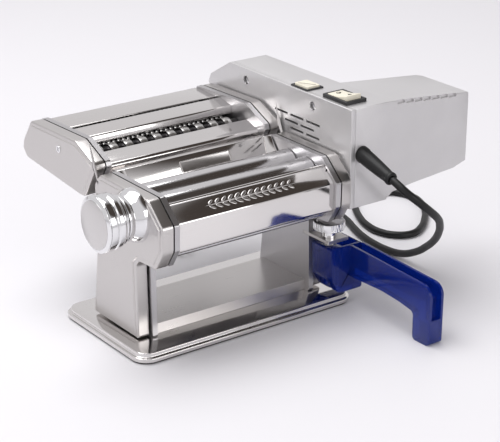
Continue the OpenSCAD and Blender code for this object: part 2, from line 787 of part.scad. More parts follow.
// Openings in the top of the motor unit for the two switches
module key_holes() {
    for (k = [[button_at, button_size], [rocker_at, rocker_size]])
        key_hole(k[0], k[1], bezel_lip, motor_top - motor_wall - 1, motor_top + 1);
}

module key_hole(at, size, g, z0, z1) {
    translate([at[0] - size[0] / 2 - g, at[1] - size[1] / 2 - g, z0])
        cube([size[0] + 2 * g, size[1] + 2 * g, z1 - z0]);
}

module motor_housing() {
    color("lightgray") difference() {
        union() {
            intersection() {
                difference() {
                    motor_body(0);
                    motor_body(motor_wall);
                }
                box([seam_x, -200, 0], [motor_end + 1, 200, 400]);
            }
            intersection() {
                motor_body(1);
                for (p = screw_posts) {
                    reach = p[1] > roller_h ? 12 : -12;
                    bar(p, post_r, post_meet, post_meet + 11);
                    box([post_meet, p[0] - 1, min(p[1], p[1] + reach)],
                        [post_meet + 11, p[0] + 1, max(p[1], p[1] + reach)]);
                }
            }
        }
        for (p = screw_posts) bar(p, 1.6, motor_x, motor_x + 18);
        key_holes();
        translate(relief_at) rotate([90, 0, 0]) translate([0, 0, -4]) cylinder(r = 5, h = 8);
        for (x = [motor_x + 52 : 10 : motor_x + 112])
            box([x, motor_front - 1, motor_top - 8], [x + 1.6, motor_front + 3, motor_top + 1]);
    }
}

// Steel plate that holds the far ends of the gear pins and the motor
module gear_carrier() {
    color("silver") difference() {
        along_x(carrier_x, carrier_x + carrier_t) polygon(rounded([
            [-66, up(-6)], [-66, up(46)], [-30, up(56)], [20, up(56)], [104, up(30)],
            [104, up(2)], [60, up(-14)], [-20, up(-14)]], 5));
        bar(out_axis, 4 + run, carrier_x - 1, carrier_x + 4);
        for (p = [cut2, cut3]) bar(p, 3 + run, carrier_x - 1, carrier_x + 4);
        for (p = [first_axis, second_axis, idler_axis]) bar(p, 2.5, carrier_x - 1, carrier_x + 4);
        bar(motor_axis, 3.5, carrier_x - 1, carrier_x + 4);
    }
}

module gear_pins() {
    color("gray") for (p = [first_axis, second_axis, idler_axis])
        bar(p, 2.5, motor_x + 1.5, carrier_x + carrier_t + 1);
}

module motor_can() {
    color("dimgray") difference() {
        union() {
            bar(motor_axis, can_r, can_x, can_x + can_len);
            bar(motor_axis, 10, carrier_x + carrier_t, can_x);
        }
        bar(motor_axis, can_r - 1.5, can_x + 2, can_x + can_len - 2);
        bar(motor_axis, 3 + run, carrier_x, can_x + can_len + 1);
    }
}

module motor_rotor() {
    color("peru") {
        bar(motor_axis, 3, layer4 - 1, can_x + can_len + 2);
        bar(motor_axis, can_r - 6, can_x + 8, can_x + can_len - 10);
        gear(motor_axis, train_small, train_mod, rotor_phase, layer4, layer4 + gear_t);
    }
}

module compound(at, pinion_phase, pinion_x, gear_x0) {
    difference() {
        union() {
            gear(at, train_small, train_mod, pinion_phase, pinion_x, gear_x0);
            gear(at, train_big, train_mod, 0, gear_x0, gear_x0 + gear_t);
        }
        bar(at, 2.5 + run, pinion_x - 1, gear_x0 + gear_t + 1);
    }
}
module first_gear() { color("white") compound(first_axis, first_pinion_phase, layer3 + 0.5, layer4); }
module second_gear() { color("white") compound(second_axis, second_pinion_phase, layer2, layer3); }

// Output gear with its shaft and the six-sided dog that enters the rear roller
module output_gear() {
    color("white") {
        gear(out_axis, train_big, train_mod, out_phase, layer1, layer3 - 0.5);
        bar(out_axis, 5, cover_x + 0.2, layer1);
        bar(out_axis, 4, layer3 - 0.5, carrier_x + carrier_t + 1);
        translate([cover_x - 7, out_axis[0], out_axis[1]]) rotate([0, 90, 0])
            cylinder(r = 4, h = 7.3, $fn = 6);
    }
}

module idler_gear() {
    color("white") difference() {
        gear(idler_axis, idler_teeth, train_mod, idler_phase, layer1, layer1 + gear_t);
        bar(idler_axis, 2.5 + run, layer1 - 1, layer1 + gear_t + 1);
    }
}

module drive_gear(at, phase) {
    gear(at, drive_teeth, train_mod, phase, layer1, layer1 + gear_t);
    bar(at, 4, cover_x + 0.2, layer1);
    bar(at, 3, layer1 + gear_t, carrier_x + carrier_t + 1);
    translate([cover_x - 6, at[0], at[1]]) rotate([0, 90, 0]) cylinder(r = 2.5, h = 6.3, $fn = 6);
}
module wide_drive_gear() { color("white") drive_gear(cut2, wide_phase); }
module narrow_drive_gear() { color("white") drive_gear(cut3, narrow_phase); }

// Black frames around the two keys on top, with the switch bodies below
module bezel(at, size, depth, rim, proud) {
    difference() {
        union() {
            key_hole(at, size, rim, motor_top, motor_top + proud);
            key_hole(at, size, bezel_lip, motor_top - depth, motor_top + proud);
        }
        key_hole(at, size, 0.3, motor_top - depth + 1.5, motor_top + proud + 1);
    }
}
module switch_bezels() {
    color("#1c1c1c") {
        bezel(button_at, button_size, 9, 2.5, 1.2);
        bezel(rocker_at, rocker_size, 12, 3, 3);
    }
}

module push_key() {
    color("ivory") key_hole(button_at, button_size, 0, motor_top - 4.5,
                            motor_top + button_travel + 1.6);
}

rocker_axis_z = motor_top - 0.5;
module rocker_key() {
    half_l = rocker_size[1] / 2 - 0.6;
    rise = 6.2;
    color("ivory") translate([rocker_at[0], rocker_at[1], rocker_axis_z])
        rotate([-rocker_tilt / 2, 0, 0]) {
            bar([0, 0], 1.5, -rocker_size[0] / 2 - 0.15, rocker_size[0] / 2 + 0.15);
            along_x(-rocker_size[0] / 2 + 0.2, rocker_size[0] / 2 - 0.2)
                polygon([[-half_l, 0.5], [-2, -4], [2, -4], [half_l, 0.5], [half_l, rise - 0.6],
                         [0, rise - 1.8], [-half_l, rise - 0.6]]);
        }
}

// ---- stabiliser arm ----

arm_tip = -173.5;
arm_depth = 29;
module stabiliser_arm() {
    low = arm_top - arm_depth;
    foot_rear = arm_tip + 21;
    side = rounded([[block_front + 1, arm_top + 0.5], [arm_tip + 6, arm_top - 3],
        [arm_tip, arm_top - 9], [arm_tip + 0.6, 0], [foot_rear, 0], [foot_rear, low - 3],
        [foot_rear + 18, low], [foot_rear + 42, low + 1.6], [block_front + 1, low]], 4);
    block_floor = base_h + 5;
    color([0.07, 0.1, 0.6, 0.75]) difference() {
        union() {
            along_x(arm_x, arm_x + arm_w) polygon(side);
            translate([0, block_rear, 0]) rotate([90, 0, 0])
                linear_extrude(block_rear - block_front)
                    polygon([[block_x, arm_top], [block_x + 1, 28], [block_x + 9, block_floor],
                             [arm_x + arm_w, block_floor], [arm_x + arm_w, arm_top]]);
        }
        // open channel along the top and down the front of the arm
        along_x(arm_x + arm_wall, arm_x + arm_w - arm_wall)
            polygon([[block_front - 1, arm_top + 5], [arm_tip - 5, arm_top + 5],
                     [arm_tip - 5, low - 5], [arm_tip + 7, low - 5], [arm_tip + 7, arm_top - 15],
                     [arm_tip + 12, arm_top - 19], [block_front - 1, arm_top - 19]]);
        // hollow foot, open at the back
        box([arm_x + arm_wall, arm_tip + 3, 3], [arm_x + arm_w - arm_wall, foot_rear + 1, low - 8]);
        // open pocket in the block
        box([screw_at[0] + 7, block_front + arm_wall, block_floor + 4],
            [arm_x + arm_w - arm_wall, block_rear - arm_wall, arm_top + 1]);
        bar_z(screw_at, screw_r + run, block_floor - 1, arm_top + 1);
    }
}

module bar_z(at, r, z0, z1) {
    translate([at[0], at[1], z0]) cylinder(r = r, h = z1 - z0);
}

// Knurled thumb wheel and its screw
module arm_screw() {
    flutes = 36;
    flute_r = 0.9;
    color("silver") {
        difference() {
            bar_z(screw_at, wheel_r, wheel_top - wheel_t, wheel_top);
            for (k = [0 : flutes - 1])
                translate([screw_at[0] + (wheel_r + 0.3) * cos(k * 360 / flutes),
                           screw_at[1] + (wheel_r + 0.3) * sin(k * 360 / flutes),
                           wheel_top - wheel_t - 1]) cylinder(r = flute_r, h = wheel_t + 2);
        }
        bar_z(screw_at, 7, bracket_z + 0.1, wheel_top - wheel_t);
        bar_z(screw_at, screw_r, 28, bracket_z + 0.2);
        bar_z(screw_at, 6, bracket_z - bracket_t - collar_t - 0.1, bracket_z - bracket_t - 0.1);
    }
}

// Steel bracket, let into the right frame plate, that the screw turns in
module arm_bracket() {
    color("silver") difference() {
        union() {
            box([in_x, -66, bracket_z - bracket_t], [cover_x + 4, -39.5, bracket_z]);
            box([in_x, -40, bracket_z - bracket_t], [plate_x, tab_rear, bracket_z]);
        }
        bar_z(screw_at, screw_r + run, 0, 200);
    }
}

// ---- cord ----

module strain_relief() {
    color("#222222") difference() {
        union() {
            translate(relief_at) rotate([90, 0, 0]) translate([0, 0, -motor_wall - 3])
                cylinder(r = 6.9, h = 3);
            translate(relief_at) rotate([90, 0, 0]) translate([0, 0, -motor_wall - 0.5])
                cylinder(r = 5, h = motor_wall + 1);
            translate(relief_at) rotate([90, 0, 0]) cylinder(r = 7.4, h = 5);
            translate(relief_at) rotate([90 + relief_droop, 0, 0]) translate([0, 0, 2.5])
                cylinder(r1 = 7, r2 = 5.2, h = relief_len - 2.5);
        }
        translate(relief_at) rotate([90 + relief_droop, 0, 0]) translate([0, 0, 30])
            cylinder(r = cord_d / 2, h = relief_len);
    }
}

cord_points = [
    [111.5, -107, 130.5], [111.5, -117, 127.6], [114, -127, 122], [122, -133, 114],
    [135, -133, 103], [150, -127, 91], [166, -113, 76], [180, -97, 61], [192, -79, 45],
    [202, -58, 29], [207, -37, 15], [208, -16, 6], [207, 4, 3.6], [207, 22, 3.6],
    [210, 42, 3.6], [216, 62, 3.6], [224, 84, 3.6], [228, 106, 3.6], [225, 130, 3.6],
    [228, 152, 3.6], [243, 166, 3.6], [262, 162, 3.6], [270, 145, 3.6], [264, 124, 3.6],
    [251, 104, 3.6], [240, 84, 3.6], [232, 62, 3.6], [231, 42, 3.6], [238, 27, 3.6],
    [253, 20, 3.6], [271, 27, 3.6], [288, 41, 3.6], [303, 57, 3.6], [315, 76, 3.6],
    [320, 97, 3.6], [314, 116, 3.6], [298, 128, 5], [284, 142, 8], [270, 158, 10.6],
    [252, 172, 10.6], [228, 184, 7], [202, 196, 4], [176, 210, 5], [154, 220, 8],
    [132, 228, 10.6], [112, 229, 10.6], [94, 224, 10.6], [80, 214, 7.4]];

// A ring of points round p, square to the way t
function ring(p, t, r, n) =
    let (side = unit(cross(t, [0, 0, 1])), over = cross(side, t))
    [for (k = [0 : n - 1]) p + r * (cos(360 * k / n) * side + sin(360 * k / n) * over)];

module cord_tube() {
    n = 8;
    last = len(cord_points) - 1;
    rings = [for (i = [0 : last])
        let (t = unit(cord_points[min(i + 1, last)] - cord_points[max(i - 1, 0)]))
        each ring(cord_points[i], t, cord_d / 2, n)];
    sides = [for (i = [0 : last - 1], k = [0 : n - 1])
        [i * n + k, i * n + (k + 1) % n, (i + 1) * n + (k + 1) % n, (i + 1) * n + k]];
    color("#222222") polyhedron(rings, concat(sides,
        [[for (k = [n - 1 : -1 : 0]) k], [for (k = [0 : n - 1]) last * n + k]]));
}

module cord_coil() {
    color("#222222") translate([coil_centre[0], coil_centre[1], 0]) rotate_extrude()
        polygon(rounded([[coil_in_r, 0.1], [coil_out_r, 0.1], [coil_out_r, cord_d],
                         [coil_in_r, cord_d]], 2));
}

// Two-pin mains plug that lies beside the coil
module mains_plug() {
    color("#222222") translate([plug_at[0], plug_at[1], 0]) {
        box([-9, -40, 0.2], [9, -6, 14.2]);
        translate([0, -6.1, 7.2]) rotate([-90, 0, 0]) cylinder(r1 = 6, r2 = 4.6, h = 22);
    }
    color("silver") for (x = [-5, 5])
        translate([plug_at[0] + x, plug_at[1] - 39, 7.2]) rotate([90, 0, 0])
            cylinder(r = 2, h = 19);
}

base_plate();
rubber_edging();
cross_member();
left_frame_plate();
right_frame_plate();
left_side_cover();
right_side_cover();
front_cover();
rear_cover();
hopper_plate();
name_plaque();
tie_rods();
roller_scrapers();
roller_bushes();
rear_roller();
rear_roller_gear();
front_roller();
front_roller_gear();
roller_yoke();
knob_shaft();
knob_hub();
knob_body();
knob_cap();
knob_spring();
cutter_left_plate();
cutter_right_plate();
cutter_left_cover();
cutter_right_cover();
cutter_rear_panel();
cutter_roof();
cutter_front_panel();
cutter_combs();
cutter_hooks();
wide_cutter_front();
wide_cutter_rear();
narrow_cutter_front();
narrow_cutter_rear();
cover_screws();
gearbox_cover();
motor_housing();
gear_carrier();
gear_pins();
motor_can();
motor_rotor();
first_gear();
second_gear();
output_gear();
idler_gear();
wide_drive_gear();
narrow_drive_gear();
switch_bezels();
rocker_key();
push_key();
stabiliser_arm();
arm_screw();
arm_bracket();
strain_relief();
cord_tube();
cord_coil();
mains_plug();
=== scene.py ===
import math

import bmesh
import bpy
from mathutils import Matrix, Vector


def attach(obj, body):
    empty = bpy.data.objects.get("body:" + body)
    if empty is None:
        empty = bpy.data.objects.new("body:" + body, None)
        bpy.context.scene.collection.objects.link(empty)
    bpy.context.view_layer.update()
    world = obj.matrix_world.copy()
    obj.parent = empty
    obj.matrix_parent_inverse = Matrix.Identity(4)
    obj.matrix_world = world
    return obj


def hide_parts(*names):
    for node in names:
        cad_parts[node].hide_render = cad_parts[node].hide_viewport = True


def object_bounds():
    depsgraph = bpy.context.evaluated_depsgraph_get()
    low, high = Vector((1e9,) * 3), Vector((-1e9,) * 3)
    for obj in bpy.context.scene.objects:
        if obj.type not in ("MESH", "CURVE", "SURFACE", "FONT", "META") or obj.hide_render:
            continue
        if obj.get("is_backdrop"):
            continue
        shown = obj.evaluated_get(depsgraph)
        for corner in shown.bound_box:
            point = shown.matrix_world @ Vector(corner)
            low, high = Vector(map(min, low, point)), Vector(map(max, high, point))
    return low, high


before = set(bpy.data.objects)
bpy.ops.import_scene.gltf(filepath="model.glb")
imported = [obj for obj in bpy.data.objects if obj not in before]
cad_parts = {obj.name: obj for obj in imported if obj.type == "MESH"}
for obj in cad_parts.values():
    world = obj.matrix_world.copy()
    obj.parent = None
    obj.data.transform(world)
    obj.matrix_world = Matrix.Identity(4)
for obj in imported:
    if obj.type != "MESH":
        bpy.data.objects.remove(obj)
cad_low, cad_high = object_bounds()

# ---- camera, lights and table ----
# The machine stands on a seamless pale table, seen from the front left and above.
# Big soft lamps hang over it, and one stretch of the room stays dark between them.

camera = bpy.data.objects.new("camera", bpy.data.cameras.new("camera"))
camera.data.lens = 121.7
camera.data.sensor_width = 36
camera.data.clip_end = 50
camera.location = (-0.77043, -1.12072, 0.625)
camera.rotation_euler = (math.radians(68.25), 0, math.radians(-36))
bpy.context.scene.collection.objects.link(camera)
bpy.context.scene.camera = camera
bpy.context.scene.view_settings.view_transform = "Standard"


def nodes_of(name):
    """A new material: its node tree, its surface shader and a short way to add nodes"""
    material = bpy.data.materials.new(name)
    material.use_nodes = True
    tree = material.node_tree
    return material, tree, tree.nodes["Principled BSDF"]


def add(tree, kind, **values):
    """A node of a kind, with its settings or its input values"""
    node = tree.nodes.new(kind)
    for key, value in values.items():
        if hasattr(node, key):
            setattr(node, key, value)
        else:
            node.inputs[key.replace("_", " ")].default_value = value
    return node


def softbox(name, place, target, size, power):
    lamp = bpy.data.objects.new(name, bpy.data.lights.new(name, "AREA"))
    lamp.data.shape = "RECTANGLE"
    lamp.data.size, lamp.data.size_y = size
    lamp.data.energy = power
    lamp.location = place
    lamp.rotation_euler = (Vector(target) - Vector(place)).to_track_quat("-Z", "Y").to_euler()
    bpy.context.scene.collection.objects.link(lamp)


softbox("lamp_above", (-0.3, 0.5, 1.9), (0, 0, 0), (1.8, 1.4), 34)
softbox("lamp_left", (-1.9, -0.3, 0.9), (0, 0, 0.1), (1.2, 1.2), 4)
softbox("lamp_front", (0.5, -2.0, 0.8), (0, 0, 0.1), (1.3, 0.9), 9)

world = bpy.data.worlds.new("studio")
world.use_nodes = True
bpy.context.scene.world = world
sky = world.node_tree
where = add(sky, "ShaderNodeTexCoord")
dark_way = Vector((0.55, -0.34, 0.76)).normalized()
toward = add(sky, "ShaderNodeVectorMath", operation="DOT_PRODUCT")
toward.inputs[1].default_value = dark_way
sky.links.new(where.outputs["Generated"], toward.inputs[0])
room = add(sky, "ShaderNodeValToRGB")
room.color_ramp.elements[0].position = 0.78
room.color_ramp.elements[0].color = (0.86, 0.845, 0.86, 1)
room.color_ramp.elements[1].position = 0.93
room.color_ramp.elements[1].color = (0.075, 0.062, 0.055, 1)
sky.links.new(toward.outputs["Value"], room.inputs[0])
back = sky.nodes["Background"]
sky.links.new(room.outputs[0], back.inputs[0])
back.inputs[1].default_value = 0.9

bpy.ops.mesh.primitive_plane_add(size=14, location=(0, 2, 0))
table = bpy.context.object
table.name = "table"
pale, tree, shader = nodes_of("pale_table")
grain = add(tree, "ShaderNodeTexNoise", Scale=3.0)
tint = add(tree, "ShaderNodeValToRGB")
tint.color_ramp.elements[0].color = (0.70, 0.69, 0.715, 1)
tint.color_ramp.elements[1].color = (0.725, 0.715, 0.74, 1)
tree.links.new(grain.outputs["Fac"], tint.inputs[0])
tree.links.new(tint.outputs[0], shader.inputs["Base Color"])
shader.inputs["Roughness"].default_value = 0.55
table.data.materials.append(pale)
table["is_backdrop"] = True

# ---- mains cord ----
# Round black PVC lead, 7 mm thick. It leaves the motor unit through a moulded sleeve,
# hangs to the table, lies in two loops and ends in a small coil behind the machine.

route = [
    (111.5, -107, 130.5), (111.5, -117, 127.6), (114, -127, 122), (122, -133, 114),
    (135, -133, 103), (150, -127, 91), (166, -113, 76), (180, -97, 61), (192, -79, 45),
    (202, -58, 29), (207, -37, 15), (208, -16, 6), (207, 4, 3.6), (207, 22, 3.6), (210, 42, 3.6),
    (216, 62, 3.6), (224, 84, 3.6), (228, 106, 3.6), (225, 130, 3.6), (228, 152, 3.6),
    (243, 166, 3.6), (262, 162, 3.6), (270, 145, 3.6), (264, 124, 3.6), (251, 104, 3.6),
    (240, 84, 3.6), (232, 62, 3.6), (231, 42, 3.6), (238, 27, 3.6), (253, 20, 3.6),
    (271, 27, 3.6), (288, 41, 3.6), (303, 57, 3.6), (315, 76, 3.6), (320, 97, 3.6),
    (314, 116, 3.6), (298, 128, 5), (284, 142, 8), (270, 158, 10.6), (252, 172, 10.6),
    (228, 184, 7), (202, 196, 4), (176, 210, 5), (154, 220, 8), (132, 228, 10.6),
    (112, 229, 10.6), (94, 224, 10.6), (80, 214, 7.4)]
path = [Vector(p) / 1000 for p in route]
cord_d = 0.007
coil_centre = Vector((0.1, 0.19, 0.0036))
coil_inner = 0.0307
coil_pitch = 0.0071
tail_lift = 0.0036
per_turn = 20
coil_start = math.radians(160)
coil_end = math.radians(180 + 3 * 360)
coil_points = 3 * per_turn + 2
for i in range(coil_points):
    angle = coil_start + (coil_end - coil_start) * i / (coil_points - 1)
    radius = coil_inner + coil_pitch * (angle - coil_start) / math.tau
    lift = tail_lift * max(0, 1 - (coil_end - angle)) ** 2
    path.append(coil_centre + Vector((math.cos(angle) * radius, math.sin(angle) * radius, lift)))
path += [Vector((0.048, 0.182, 0.0072)), Vector((0.048, 0.166, 0.0072))]

curve = bpy.data.curves.new("mains_cord", "CURVE")
curve.dimensions = "3D"
curve.bevel_depth = cord_d / 2
curve.bevel_resolution = 5
curve.resolution_u = 6
line = curve.splines.new("BEZIER")
line.bezier_points.add(len(path) - 1)
for point, place in zip(line.bezier_points, path):
    point.co = place
    point.handle_left_type = point.handle_right_type = "AUTO"
cord = bpy.data.objects.new("mains_cord", curve)
bpy.context.scene.collection.objects.link(cord)


def plastic(name, color, roughness, mottle=0.06, grain=1400.0, depth=0.00002, metallic=0.0, coat=0.0):
    """Moulded plastic or rubber: a fine spark-eroded grain and slightly uneven colour and gloss"""
    material, tree, shader = nodes_of(name)
    place = add(tree, "ShaderNodeTexCoord")
    cloud = add(tree, "ShaderNodeTexNoise", Scale=45.0, Detail=4.0)
    shade = add(tree, "ShaderNodeValToRGB")
    shade.color_ramp.elements[0].position = 0.3
    shade.color_ramp.elements[1].position = 0.7
    shade.color_ramp.elements[0].color = [c * (1 - mottle) for c in color] + [1]
    shade.color_ramp.elements[1].color = [min(1, c * (1 + mottle)) for c in color] + [1]
    gloss = add(tree, "ShaderNodeMapRange", To_Min=roughness * 0.85, To_Max=roughness * 1.15)
    fine = add(tree, "ShaderNodeTexNoise", Scale=grain, Detail=2.0)
    bump = add(tree, "ShaderNodeBump", Strength=0.35, Distance=depth)
    tree.links.new(place.outputs["Object"], cloud.inputs["Vector"])
    tree.links.new(place.outputs["Object"], fine.inputs["Vector"])
    tree.links.new(cloud.outputs["Fac"], shade.inputs[0])
    tree.links.new(shade.outputs[0], shader.inputs["Base Color"])
    tree.links.new(cloud.outputs["Fac"], gloss.inputs["Value"])
    tree.links.new(gloss.outputs[0], shader.inputs["Roughness"])
    tree.links.new(fine.outputs["Fac"], bump.inputs["Height"])
    tree.links.new(bump.outputs[0], shader.inputs["Normal"])
    shader.inputs["Metallic"].default_value = metallic
    shader.inputs["Coat Weight"].default_value = coat
    return material


cord_pvc = plastic("cord_pvc", (0.006, 0.006, 0.0065), 0.42, grain=900.0, depth=0.000008)
cord_pvc.node_tree.nodes["Principled BSDF"].inputs["Specular IOR Level"].default_value = 0.3
cord.data.materials.append(cord_pvc)
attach(cord, "root")
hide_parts("cord_tube", "cord_coil")


def draw(name, points):
    """A new piece in edit mode: one vertex drawn out along the points"""
    bpy.ops.object.select_all(action="DESELECT")
    bpy.ops.mesh.primitive_plane_add(size=0.01, location=points[0])
    piece = bpy.context.object
    piece.name = piece.data.name = name
    bpy.ops.object.mode_set(mode="EDIT")
    bpy.context.tool_settings.mesh_select_mode = (True, False, False)
    bpy.ops.mesh.select_all(action="SELECT")
    bpy.ops.mesh.merge(type="CENTER")
    for a, b in zip(points, points[1:]):
        bpy.ops.mesh.extrude_vertices_move(TRANSFORM_OT_translate={"value": Vector(b) - Vector(a)})
    return piece


def pick(kind, test):
    """Select the faces or edges of the piece in edit mode that pass a test, and nothing else"""
    mesh = bmesh.from_edit_mesh(bpy.context.edit_object.data)
    bpy.context.tool_settings.mesh_select_mode = (kind == "verts", kind == "edges", kind == "faces")
    for group in (mesh.verts, mesh.edges, mesh.faces):
        for part in group:
            part.select = False
    for part in getattr(mesh, kind):
        if test(part):
            part.select_set(True)
    mesh.select_flush_mode()
    bmesh.update_edit_mesh(bpy.context.edit_object.data)


def modify(piece, kind, **settings):
    """Add a modifier, set it and apply it"""
    bpy.ops.object.select_all(action="DESELECT")
    bpy.context.view_layer.objects.active = piece
    piece.select_set(True)
    modifier = piece.modifiers.new(kind.lower(), kind)
    for key, value in settings.items():
        setattr(modifier, key, value)
    bpy.ops.object.modifier_apply(modifier=modifier.name)


def finish(piece, material, body, slot, *nodes, smooth=30):
    """Leave edit mode, put the origin at the machine's own, shade, paint and fix the piece"""
    if bpy.context.mode != "OBJECT":
        bpy.ops.object.mode_set(mode="OBJECT")
    bpy.ops.object.select_all(action="DESELECT")
    bpy.context.view_layer.objects.active = piece
    piece.select_set(True)
    bpy.ops.object.transform_apply(location=True, rotation=True, scale=True)
    bpy.ops.object.shade_smooth_by_angle(angle=math.radians(smooth))
    piece.data.materials.clear()
    piece.data.materials.append(material)
    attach(piece, body)
    if nodes:
        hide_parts(*nodes)
    return piece


def spun(name, profile, steps=96):
    """A turned piece about the X axis: the profile is drawn as (radius, x) and spun once round"""
    if profile[0][0] > 0:
        profile = profile + profile[:1]
    piece = draw(name, [(x, 0, r) for r, x in profile])
    bpy.ops.mesh.select_all(action="SELECT")
    bpy.ops.mesh.spin(steps=steps, angle=math.tau, center=(0, 0, 0), axis=(1, 0, 0))
    bpy.ops.mesh.select_all(action="SELECT")
    bpy.ops.mesh.remove_doubles(threshold=0.00001)
    bpy.ops.mesh.normals_make_consistent(inside=False)
    bpy.ops.object.mode_set(mode="OBJECT")
    bpy.ops.object.transform_apply(location=True, rotation=True, scale=True)
    return piece


# The sleeve is moulded rubber, tapered, with a lip at the wall and one at its tip.
gland = Vector((0.1115, -0.0704, 0.141))
droop = math.radians(16)
sleeve = spun("cord_sleeve", [
    (0.0035, -0.002), (0.0072, -0.002), (0.0074, 0.0005), (0.0074, 0.003), (0.0070, 0.0045),
    (0.0069, 0.012), (0.0064, 0.022), (0.0058, 0.032), (0.0053, 0.0375), (0.0058, 0.0385),
    (0.0059, 0.0405), (0.0053, 0.0418), (0.0040, 0.042), (0.0035, 0.041)], 48)
modify(sleeve, "BEVEL", width=0.0004, segments=2, limit_method="ANGLE")
sleeve.matrix_world = (Matrix.Translation(gland) @ Matrix.Rotation(-math.pi / 2, 4, "Z")
                       @ Matrix.Rotation(droop, 4, "Y"))
finish(sleeve, cord_pvc, "root", "cord_black", "strain_relief")

# The plug has two round pins in a rounded black body.
plug_low = Vector((0.048, 0.128, 0.0072))
bpy.ops.mesh.primitive_cube_add(size=1, location=plug_low + Vector((0, 0.017, 0)))
plug = bpy.context.object
plug.name = "plug_body"
plug.scale = (0.018, 0.034, 0.0138)
bpy.ops.object.transform_apply(location=True, rotation=True, scale=True)
bpy.ops.object.mode_set(mode="EDIT")
pick("faces", lambda f: f.normal.y > 0.9)
bpy.ops.transform.resize(value=(0.72, 1, 0.85))
bpy.ops.mesh.inset(thickness=0.0012)
bpy.ops.mesh.extrude_region_move(TRANSFORM_OT_translate={"value": (0, 0.012, 0)})
bpy.ops.transform.resize(value=(0.8, 1, 0.9))
pick("edges", lambda e: True)
bpy.ops.mesh.bevel(offset=0.0018, segments=3)
bpy.ops.mesh.subdivide(number_cuts=1, smoothness=0)
bpy.ops.object.mode_set(mode="OBJECT")
black_abs = plastic("black_plastic", (0.014, 0.014, 0.015), 0.42)
finish(plug, black_abs, "root", "black_plastic", "mains_plug")


def ground_metal(name, color, roughness, across=(1, 400, 400), depth=0.000004, smudge=0.04):
    """Steel with fine marks that run along one axis, and faint smears that dull its gloss"""
    material, tree, shader = nodes_of(name)
    place = add(tree, "ShaderNodeTexCoord")
    stretch = add(tree, "ShaderNodeMapping", Scale=across)
    lines = add(tree, "ShaderNodeTexNoise", Scale=6.0, Detail=5.0, Roughness=0.65)
    smear = add(tree, "ShaderNodeTexNoise", Scale=22.0, Detail=3.0)
    gloss = add(tree, "ShaderNodeMapRange", To_Min=max(0.02, roughness - smudge),
                To_Max=roughness + smudge)
    both = add(tree, "ShaderNodeMath", operation="MULTIPLY_ADD")
    both.inputs[1].default_value = 0.5
    shade = add(tree, "ShaderNodeValToRGB")
    shade.color_ramp.elements[0].color = [c * 0.94 for c in color] + [1]
    shade.color_ramp.elements[1].color = [min(1, c * 1.03) for c in color] + [1]
    bump = add(tree, "ShaderNodeBump", Strength=0.4, Distance=depth)
    tree.links.new(place.outputs["Object"], stretch.inputs["Vector"])
    tree.links.new(stretch.outputs[0], lines.inputs["Vector"])
    tree.links.new(place.outputs["Object"], smear.inputs["Vector"])
    tree.links.new(lines.outputs["Fac"], both.inputs[0])
    tree.links.new(smear.outputs["Fac"], both.inputs[2])
    tree.links.new(both.outputs[0], gloss.inputs["Value"])
    tree.links.new(gloss.outputs[0], shader.inputs["Roughness"])
    tree.links.new(lines.outputs["Fac"], shade.inputs[0])
    tree.links.new(shade.outputs[0], shader.inputs["Base Color"])
    tree.links.new(lines.outputs["Fac"], bump.inputs["Height"])
    tree.links.new(bump.outputs[0], shader.inputs["Normal"])
    shader.inputs["Metallic"].default_value = 1
    return material


plug_brass = ground_metal("plug_nickel", (0.72, 0.70, 0.64), 0.2)
for side in (-0.005, 0.005):
    pin = spun("plug_pin", [(0, 0.0195), (0.0014, 0.0193), (0.002, 0.0182), (0.002, 0.0),
                            (0, -0.001)], 32)
    pin.matrix_world = (Matrix.Translation(plug_low + Vector((side, 0.0005, 0)))
                        @ Matrix.Rotation(-math.pi / 2, 4, "Z"))
    pin.name = "plug_pin_left" if side < 0 else "plug_pin_right"
    finish(pin, plug_brass, "root", "roller_steel")


# ---- base ----
# Deep-drawn stainless tray, 1.6 mm thick, with a stepped rim that stands on a rubber ring.
# One outline is drawn up, stepped in and drawn up again, then opened below.


def outlined(name, corners, rounding=0.0, segments=4):
    """A flat closed outline with rounded corners, left in edit mode"""
    piece = draw(name, corners)
    bpy.ops.mesh.select_all(action="SELECT")
    bpy.ops.mesh.edge_face_add()
    if rounding:
        bpy.ops.mesh.bevel(offset=rounding, segments=segments, affect="VERTICES")
    return piece


def push(*step):
    """Extrude what is selected by a step"""
    bpy.ops.mesh.extrude_region_move(TRANSFORM_OT_translate={"value": step})


def outward():
    """Turn every face of the piece in edit mode to the outside"""
    bpy.ops.mesh.select_all(action="SELECT")
    bpy.ops.mesh.normals_make_consistent(inside=False)


satin_steel = ground_metal("satin_steel", (0.58, 0.56, 0.55), 0.27)
polished_steel = ground_metal("polished_steel", (0.73, 0.71, 0.70), 0.09, smudge=0.03)

tray = outlined("base_tray", [(-0.113, -0.065, 0.0015), (0.113, -0.065, 0.0015),
                              (0.113, 0.065, 0.0015), (-0.113, 0.065, 0.0015)], 0.015, 8)
push(0, 0, 0.0039)
bpy.ops.mesh.inset(thickness=0.003)
push(0, 0, 0.0036)
outward()
pick("faces", lambda f: f.normal.z < -0.9)
bpy.ops.mesh.delete(type="ONLY_FACE")
bpy.ops.object.mode_set(mode="OBJECT")
modify(tray, "SOLIDIFY", thickness=0.0016, offset=-1)
modify(tray, "BEVEL", width=0.0009, segments=3, limit_method="ANGLE", angle_limit=math.radians(40))
finish(tray, polished_steel, "root", "polished_steel", "base_plate")

rubber = plastic("foot_rubber", (0.02, 0.02, 0.021), 0.75, grain=700.0, depth=0.00005)


